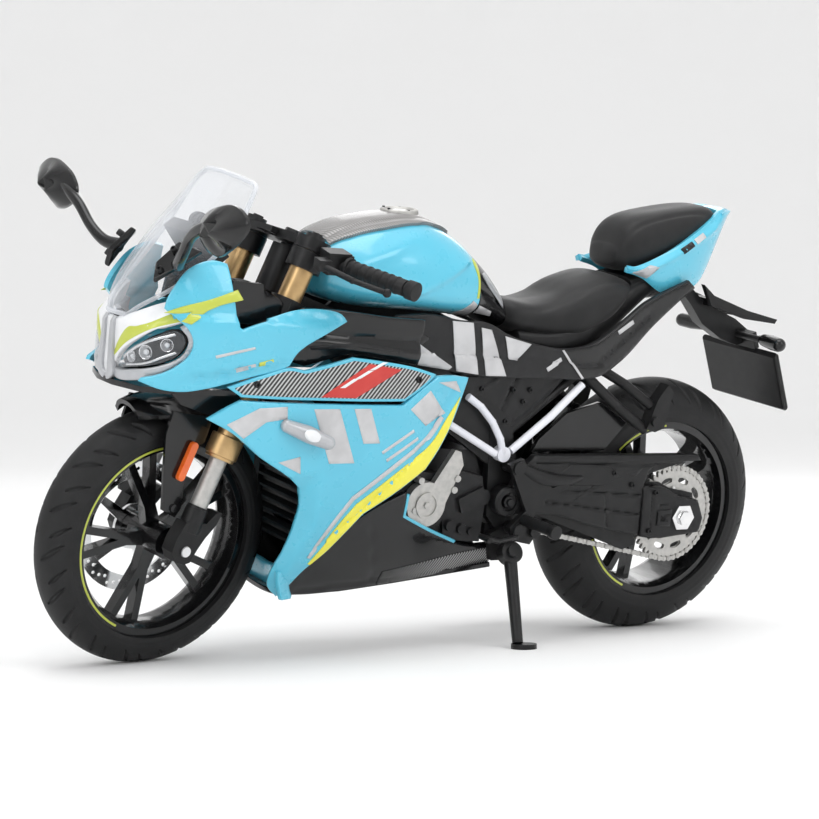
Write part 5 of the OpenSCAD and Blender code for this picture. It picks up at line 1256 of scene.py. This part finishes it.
# ---------------------------------------------------------------- mirrors with smooth facets
def mirror_shell(s):
    tag = "left" if s > 0 else "right"
    rim_ = [(40.9, 86.3), (39.2, 87.6), (35.6, 88.5), (30.4, 87.6), (26.2, 85.8), (24.5, 83.6), (25.6, 81.7), (28.6, 80.0), (31.6, 79.4), (35.2, 80.8), (38.8, 83.2), (40.8, 85.2)]
    R = outline(rim_, 0.7)
    c = np.array([32.4, 83.9])
    bm = bmesh.new()
    rings = []
    for k, (f, dx) in enumerate(((0.93, -0.55), (1.0, -0.35), (1.0, 0.25), (0.93, 0.75), (0.62, 2.05), (0.30, 3.0))):
        rr = []
        for i, p in enumerate(R):
            q = c + (p - c) * f
            a = math.atan2(p[1] - c[1], p[0] - c[0])
            fac = 0.22 * math.cos(3 * a + 0.6) * (k >= 3) * (k - 2)
            rr.append(bm.verts.new((65.6 + dx + fac, q[0] * s, q[1])))
        rings.append(rr)
    n = len(R)
    for a, b in zip(rings[:-1], rings[1:]):
        for i in range(n):
            bm.faces.new((a[i], a[(i + 1) % n], b[(i + 1) % n], b[i]))
    bm.faces.new(rings[0][::-1])
    bm.faces.new(rings[-1])
    o = obj_from_bm("mirror_shell_" + tag, bm)
    fix_normals(o)
    finish_piece(o, "gloss", "chassis", 28, slot="black_gloss", replaces=["mirrors"] if s > 0 else ())
    bm = bmesh.new()
    lo, hi = [], []
    for p in R:
        q = c + (p - c) * 0.86
        lo.append(bm.verts.new((65.06, q[0] * s, q[1])))
        hi.append(bm.verts.new((64.92, q[0] * s, q[1])))
    bm.faces.new(lo)
    bm.faces.new(hi[::-1])
    for i in range(n):
        bm.faces.new((lo[i], lo[(i + 1) % n], hi[(i + 1) % n], hi[i]))
    o = obj_from_bm("mirror_glass_" + tag, bm)
    fix_normals(o)
    finish_piece(o, "mirror", "chassis", 30)


def tube(name, pts, radii, mat, body, n=24, step=24, **kw):
    """A smooth round tube through points."""
    T = [list(p) + [r] for p, r in zip(pts, radii)]
    S = np.array([spline(T, i * (len(T) - 1) / step) for i in range(step + 1)])
    C, r = S[:, :3], S[:, 3]
    t = np.gradient(C, axis=0)
    t /= np.linalg.norm(t, axis=1)[:, None]
    u = np.cross(t[0], (0, 0, 1.0) if abs(t[0][2]) < 0.9 else (1.0, 0, 0))
    P = []
    for i in range(len(C)):
        u = u - t[i] * (u @ t[i])
        u /= np.linalg.norm(u)
        v = np.cross(t[i], u)
        P.append([tuple(C[i] + r[i] * (u * math.cos(a) + v * math.sin(a))) for a in np.linspace(0, 2 * math.pi, n, endpoint=False)])
    o = link(name, grid_mesh(name, P, closed_v=True, caps=True))
    fix_normals(o)
    return finish_piece(o, mat, body, 40, weighted=False, **kw)


for s in (1, -1):
    tag = "left" if s > 0 else "right"
    mirror_shell(s)
    m_ = lambda *p: [(a, b * s, c) for a, b, c in p]
    tube("mirror_stalk_" + tag, m_((66.6, 28.6, 84.2), (66.4, 25.4, 83.0), (66.0, 22.0, 81.2), (65.2, 18.4, 78.0), (64.0, 14.6, 75.8), (62.2, 11.6, 75.4)), (0.8, 1.05, 1.0, 1.0, 1.15, 1.3), "gloss", "chassis")
    bm = bmesh.new()
    pl = [(60.6, 8.8, 78.6), (64.9, 8.9, 74.8), (65.3, 9.2, 71.4), (62.4, 12.3, 74.6), (58.4, 13.2, 77.6)]
    nrm = np.array((0.72, 0.5, 0.48))
    lo = [bm.verts.new((p[0], p[1] * s, p[2])) for p in pl]
    hi = [bm.verts.new(tuple(np.array((p[0], p[1] * s, p[2])) + 1.2 * nrm * (1, s, 1))) for p in pl]
    bm.faces.new(lo[::-1])
    bm.faces.new(hi)
    for i in range(5):
        bm.faces.new((lo[i], lo[(i + 1) % 5], hi[(i + 1) % 5], hi[i]))
    o = obj_from_bm("mirror_base_" + tag, bm)
    fix_normals(o)
    add_bevel(o, 0.35, 3, 25)
    bake(o)
    finish_piece(o, "gloss", "chassis", 35)
    q = Vector((0, 1, 0)).rotation_difference(Vector((0.72, 0.5 * s, 0.48))).to_matrix().to_4x4()
    for k, p in enumerate(((62.4, 10.6, 77.4), (64.6, 10.2, 73.8))):
        lathe("mirror_bolt_%s_%d" % (tag, k), [(0.0001, -0.3), (0.62, -0.3), (0.62, 0.7), (0.5, 0.9), (0.3, 0.9), (0.26, 0.5), (0.0001, 0.5)], "satin", "chassis", (p[0] + 0.3, p[1] * s, p[2] + 0.2), n=20, rot=q)
DONE.add("mirrors")


# ---------------------------------------------------------------- space under the rider seat, closed in black
loft("seat_base", [[-15.5, 59.6, 64.0, 7.4, 62], [-24, 59.0, 64.4, 8.6, 61.6], [-31, 60.0, 66.6, 8.7, 63.4], [-37, 62.6, 70.2, 8.3, 66.4], [-42, 66.6, 73.6, 7.8, 70], [-47, 70.6, 75.6, 7.2, 73], [-52, 72.6, 76.4, 6.4, 74.6]],
     "satin", rows=40, n=64, k=4.0, bevel=0.3)
loft("battery_core", [[3, 47.5, 57, 6.8, 52], [-6, 46.6, 58, 7.4, 52], [-16, 47.6, 58.4, 7.4, 53], [-25, 51.6, 58.6, 7.0, 55]], "engine", rows=12, n=48, k=5.0, bevel=0.3)


def flat(y, bump=()):
    def f(x, z):
        d = 0.0
        for (a, b, dep, wid) in bump:
            s1, t1 = seg_dist((x, z), a, b)
            if -0.02 < t1 < 1.02:
                d += dep * math.exp(-(s1 / wid) ** 2)
        return (x, y + d, z)
    return f


BOX = [(2.6, 50.6, 1), (-1.6, 55.4, 1), (-14.6, 55.4, 1), (-26.6, 55.4, 1), (-20.6, 49.4, 1), (-13.4, 43.2, 1), (-11.4, 43.0, 1), (-9.6, 46.8), (-6.8, 49.0), (-3.0, 50.6, 1)]
panel("battery_cover", BOX, flat(9.9, (((-10.2, 45.4), (-14.6, 55.0), -0.5, 0.3), ((-3.4, 51.4), (-9.6, 54.4), 0.35, 0.35), ((-14.4, 46.6), (-24.6, 54.6), 0.4, 0.4))), "engine", t=1.0, r=0.35, grid=0.5)
for k, (x, z) in enumerate(((-12.4, 46.4), (-13.6, 52.6), (-6.0, 52.8), (-17.6, 52.6), (-16.2, 50.2))):
    screw("battery_screw_%d" % k, (x, 9.95, z), 0.52, h=0.5)

# ---------------------------------------------------------------- swingarm drawn from its own outline
SW = [(-15.4, 36.9, 1), (-18.9, 40.0, 1), (-60.2, 39.5, 1), (-61.3, 38.2, 1), (-49.6, 37.8, 1), (-47.6, 36.2, 1), (-46.9, 33.6, 1), (-46.9, 23.0, 1), (-41.4, 23.9), (-35.5, 25.1), (-24.7, 27.9), (-18.6, 28.2), (-14.6, 28.3, 1), (-13.0, 31.4, 1)]
CR = (((-20.4, 33.2), (-45.6, 31.4), -0.45, 0.28), ((-22.6, 30.6), (-45.8, 27.4), -0.45, 0.28), ((-29.0, 30.2), (-35.9, 34.9), -0.4, 0.25), ((-19.4, 38.4), (-48.4, 37.6), -0.35, 0.25), ((-37.2, 32.2), (-38.6, 24.8), -0.4, 0.25))
panel("swingarm_side", SW, flat(13.0, CR), "satin", body="swingarm", t=1.9, r=0.45, grid=0.42, slot="black_satin")
SWB = [(-46.4, 33.0, 1), (-52, 32.8), (-55.4, 31.2), (-61.2, 30.0, 1), (-63.0, 26.2, 1), (-62.4, 23.2, 1), (-52.2, 22.2, 1), (-47.0, 22.9, 1)]
panel("swingarm_end", SWB, flat(13.5, (((-49.0, 31.6), (-49.4, 24.0), -0.4, 0.25), ((-50.8, 29.0), (-54.6, 29.4), -0.35, 0.25))), "satin", body="swingarm", t=2.2, r=0.4, grid=0.5, slot="black_satin")
panel("swingarm_adjuster", [(-50.6, 28.2, 1), (-54.2, 28.4, 1), (-54.2, 24.8, 1), (-50.6, 25.0, 1)], flat(13.9), "dark", body="swingarm", t=0.8, r=0.2, grid=0.8)
panel("swingarm_recess", [(-41.3, 35.8, 1), (-46.2, 37.3, 1), (-44.1, 35.1, 1)], flat(13.06), "dark", body="swingarm", t=0.3, r=0.1, grid=0.8)
panel("swingarm_upper_web", [(-23.6, 35.6, 1), (-27.6, 38.2, 1), (-36.6, 37.8, 1), (-40.6, 35.4, 1), (-36.6, 33.6, 1), (-25.4, 33.8, 1)], flat(13.25), "satin", body="swingarm", t=0.6, r=0.35, grid=0.7)
for k, (x, z) in enumerate(((-49.4, 32.0), (-48.8, 24.0), (-38.4, 36.2), (-43.4, 33.6))):
    screw("swingarm_bolt_%d" % k, (x, 13.1 if k > 1 else 13.6, z), 0.55, body="swingarm", h=0.5)
DONE.update({"swingarm"})
for s in (1, -1):
    tag = "left" if s > 0 else "right"
    lathe("swingarm_pivot_" + tag, [(1.4, -1.4), (2.9, -1.4), (3.0, 1.2), (2.7, 1.6), (1.9, 1.7), (1.7, 1.1), (1.4, 1.1)], "satin", "swingarm", (-13.2, 11.6 * s, 31.0), n=48, rot=Matrix.Rotation(0 if s > 0 else rad(180), 4, "X"))
    lathe("pivot_bolt_" + tag, [(0.0001, 1.7), (0.7, 1.7), (0.8, 1.2), (1.25, 1.1), (1.25, -0.5), (0.0001, -0.5)], "dark", "chassis", (-13.2, 12.2 * s, 31.0), n=6, rot=Matrix.Rotation(0 if s > 0 else rad(180), 4, "X"), smooth_deg=20)
from_node("swingarm", "swingarm_cross_piece", None, 0.2, keep=lambda c: abs(c[1]) < 10.9)
tube("arm_brace_left", [(-15.2, 13.4, 37.6), (-20.4, 13.6, 35.6), (-26.4, 13.5, 35.0), (-30.4, 13.2, 35.4)], (1.3, 1.5, 1.1, 0.5), "satin", "swingarm")

# ---------------------------------------------------------------- windscreen edge, thick and bright
edge = [screen_at(0.0 + 0 * t, 0.5 + t) for t in (0.0,)]
path = [screen_at(u, 0.004) for u in np.linspace(0.0, 1.0, 26)] + [screen_at(0.998, v) for v in np.linspace(0.06, 0.94, 16)] + [screen_at(u, 0.996) for u in np.linspace(1.0, 0.0, 26)]
M["edge"] = clear("clear_edge", (0.84, 0.86, 0.90), 0.30, 0.85, 0.03)
pp = [(p[0] - 0.35, p[1] * 0.985, p[2] - 0.15) for p in path]
tube("screen_edge", pp, [0.42] * len(pp), "edge", "chassis", n=12, step=140)
bot = [screen_at(0.01, v) for v in np.linspace(0.0, 1.0, 14)]
tube("screen_foot", [(p[0] - 0.3, p[1], p[2] + 0.1) for p in bot], [0.45] * len(bot), "edge", "chassis", n=12, step=60)

# ---------------------------------------------------------------- glossy inner wall between fairing and fork
def cowl_in(x, z):
    return (x, 10.6 + 1.8 * math.sin(math.pi * min(1, max(0, (x - 37) / 17))) - 0.04 * (z - 68) ** 2, z)


panel("cowl_inner_wall", [(51.6, 64.8, 1), (51.9, 70), (51.4, 73.2, 1), (48, 72.8), (44, 71.0), (41, 69.4), (38.6, 67.2, 1), (43, 65.4)], cowl_in, "gloss", t=0.9, r=0.3, grid=0.7, sides=(1,))


for n in frame["nodes"]:
    if n not in DONE:
        from_node(n, n + "_look")

# ---------------------------------------------------------------- floor, light and camera
def world_point(p):
    return PLACE @ (Vector(p) * MM)


def floor_and_light():
    """A pale dish: flat under the model, curving up into a wall all round."""
    prof = [(0.0, 0.0), (0.4, 0.0), (0.9, 0.0)] + [(0.9 + 0.8 * math.sin(rad(a)), 0.8 * (1 - math.cos(rad(a)))) for a in range(6, 91, 6)] + [(1.7, 1.3), (1.7, 2.2)]
    n = 96
    verts, faces = [], []
    for r, z in prof:
        verts += [(r * math.cos(2 * math.pi * k / n), r * math.sin(2 * math.pi * k / n), z) for k in range(n)]
    for i in range(len(prof) - 1):
        faces += [(i * n + k, i * n + (k + 1) % n, (i + 1) * n + (k + 1) % n, (i + 1) * n + k) for k in range(n)]
    me = bpy.data.meshes.new("floor")
    me.from_pydata(verts, [], faces)
    for f in me.polygons:
        f.use_smooth = True
    fl = link("floor", me)
    fl.location = (0, 0, -0.00001)
    m, nt, b = nodes_of("floor_paper")
    v = coords(nt, 0.01)
    nt.links.new(mixc(nt, noise(nt, v, 0.5), (0.90, 0.90, 0.90), (0.92, 0.92, 0.92)), b.inputs["Base Color"])
    setv(b, "Roughness", 0.75)
    setv(b, "Specular IOR Level", 0.2)
    me.materials.append(m)
    fl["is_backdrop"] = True
    w = bpy.data.worlds.new("studio")
    bpy.context.scene.world = w
    w.use_nodes = True
    bg = w.node_tree.nodes["Background"]
    bg.inputs[0].default_value = (1, 1, 1, 1)
    bg.inputs[1].default_value = 1.0

    def area(name, loc, target, size, power, size_y=None, col=(1, 1, 1)):
        l = bpy.data.lights.new(name, "AREA")
        l.energy = power
        l.color = col
        l.size = size
        if size_y:
            l.shape = "RECTANGLE"
            l.size_y = size_y
        o = bpy.data.objects.new(name, l)
        bpy.context.scene.collection.objects.link(o)
        o.location = loc
        d = Vector(target) - Vector(loc)
        o.rotation_mode = "QUATERNION"
        o.rotation_quaternion = d.to_track_quat("-Z", "Y")
        o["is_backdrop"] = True
        return o

    area("top_soft", (0.05, 0.15, 0.75), (0, 0, 0.03), 0.5, 2.2)
    area("front_soft", (0.75, 0.35, 0.45), (0.02, 0, 0.05), 0.4, 1.4)
    area("side_soft", (-0.25, 0.8, 0.5), (-0.02, 0, 0.04), 0.4, 1.5)
    area("back_rim", (-0.5, -0.6, 0.5), (0, 0, 0.05), 0.4, 0.8)


floor_and_light()

cam_d = bpy.data.cameras.new("camera")
cam = bpy.data.objects.new("camera", cam_d)
bpy.context.scene.collection.objects.link(cam)
R3 = PLACE.to_3x3()
cr, cu, cb = (R3 @ Vector(v) for v in ((-0.83592, 0.53908, 0.10309), (-0.00735, -0.19880, 0.98001), (0.54880, 0.81846, 0.17014)))
cm = Matrix((cr, cu, cb)).transposed().to_4x4()
cm.translation = world_point((250.02, 367.95, 123.27))
cam.matrix_world = cm
cam_d.sensor_width = 36
cam_d.lens = 2319 / 819 * 36
cam_d.clip_start, cam_d.clip_end = 0.01, 20
bpy.context.scene.camera = cam
bpy.context.scene.view_settings.view_transform = "Standard"
bpy.context.scene.view_settings.look = "None"

lo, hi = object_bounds()
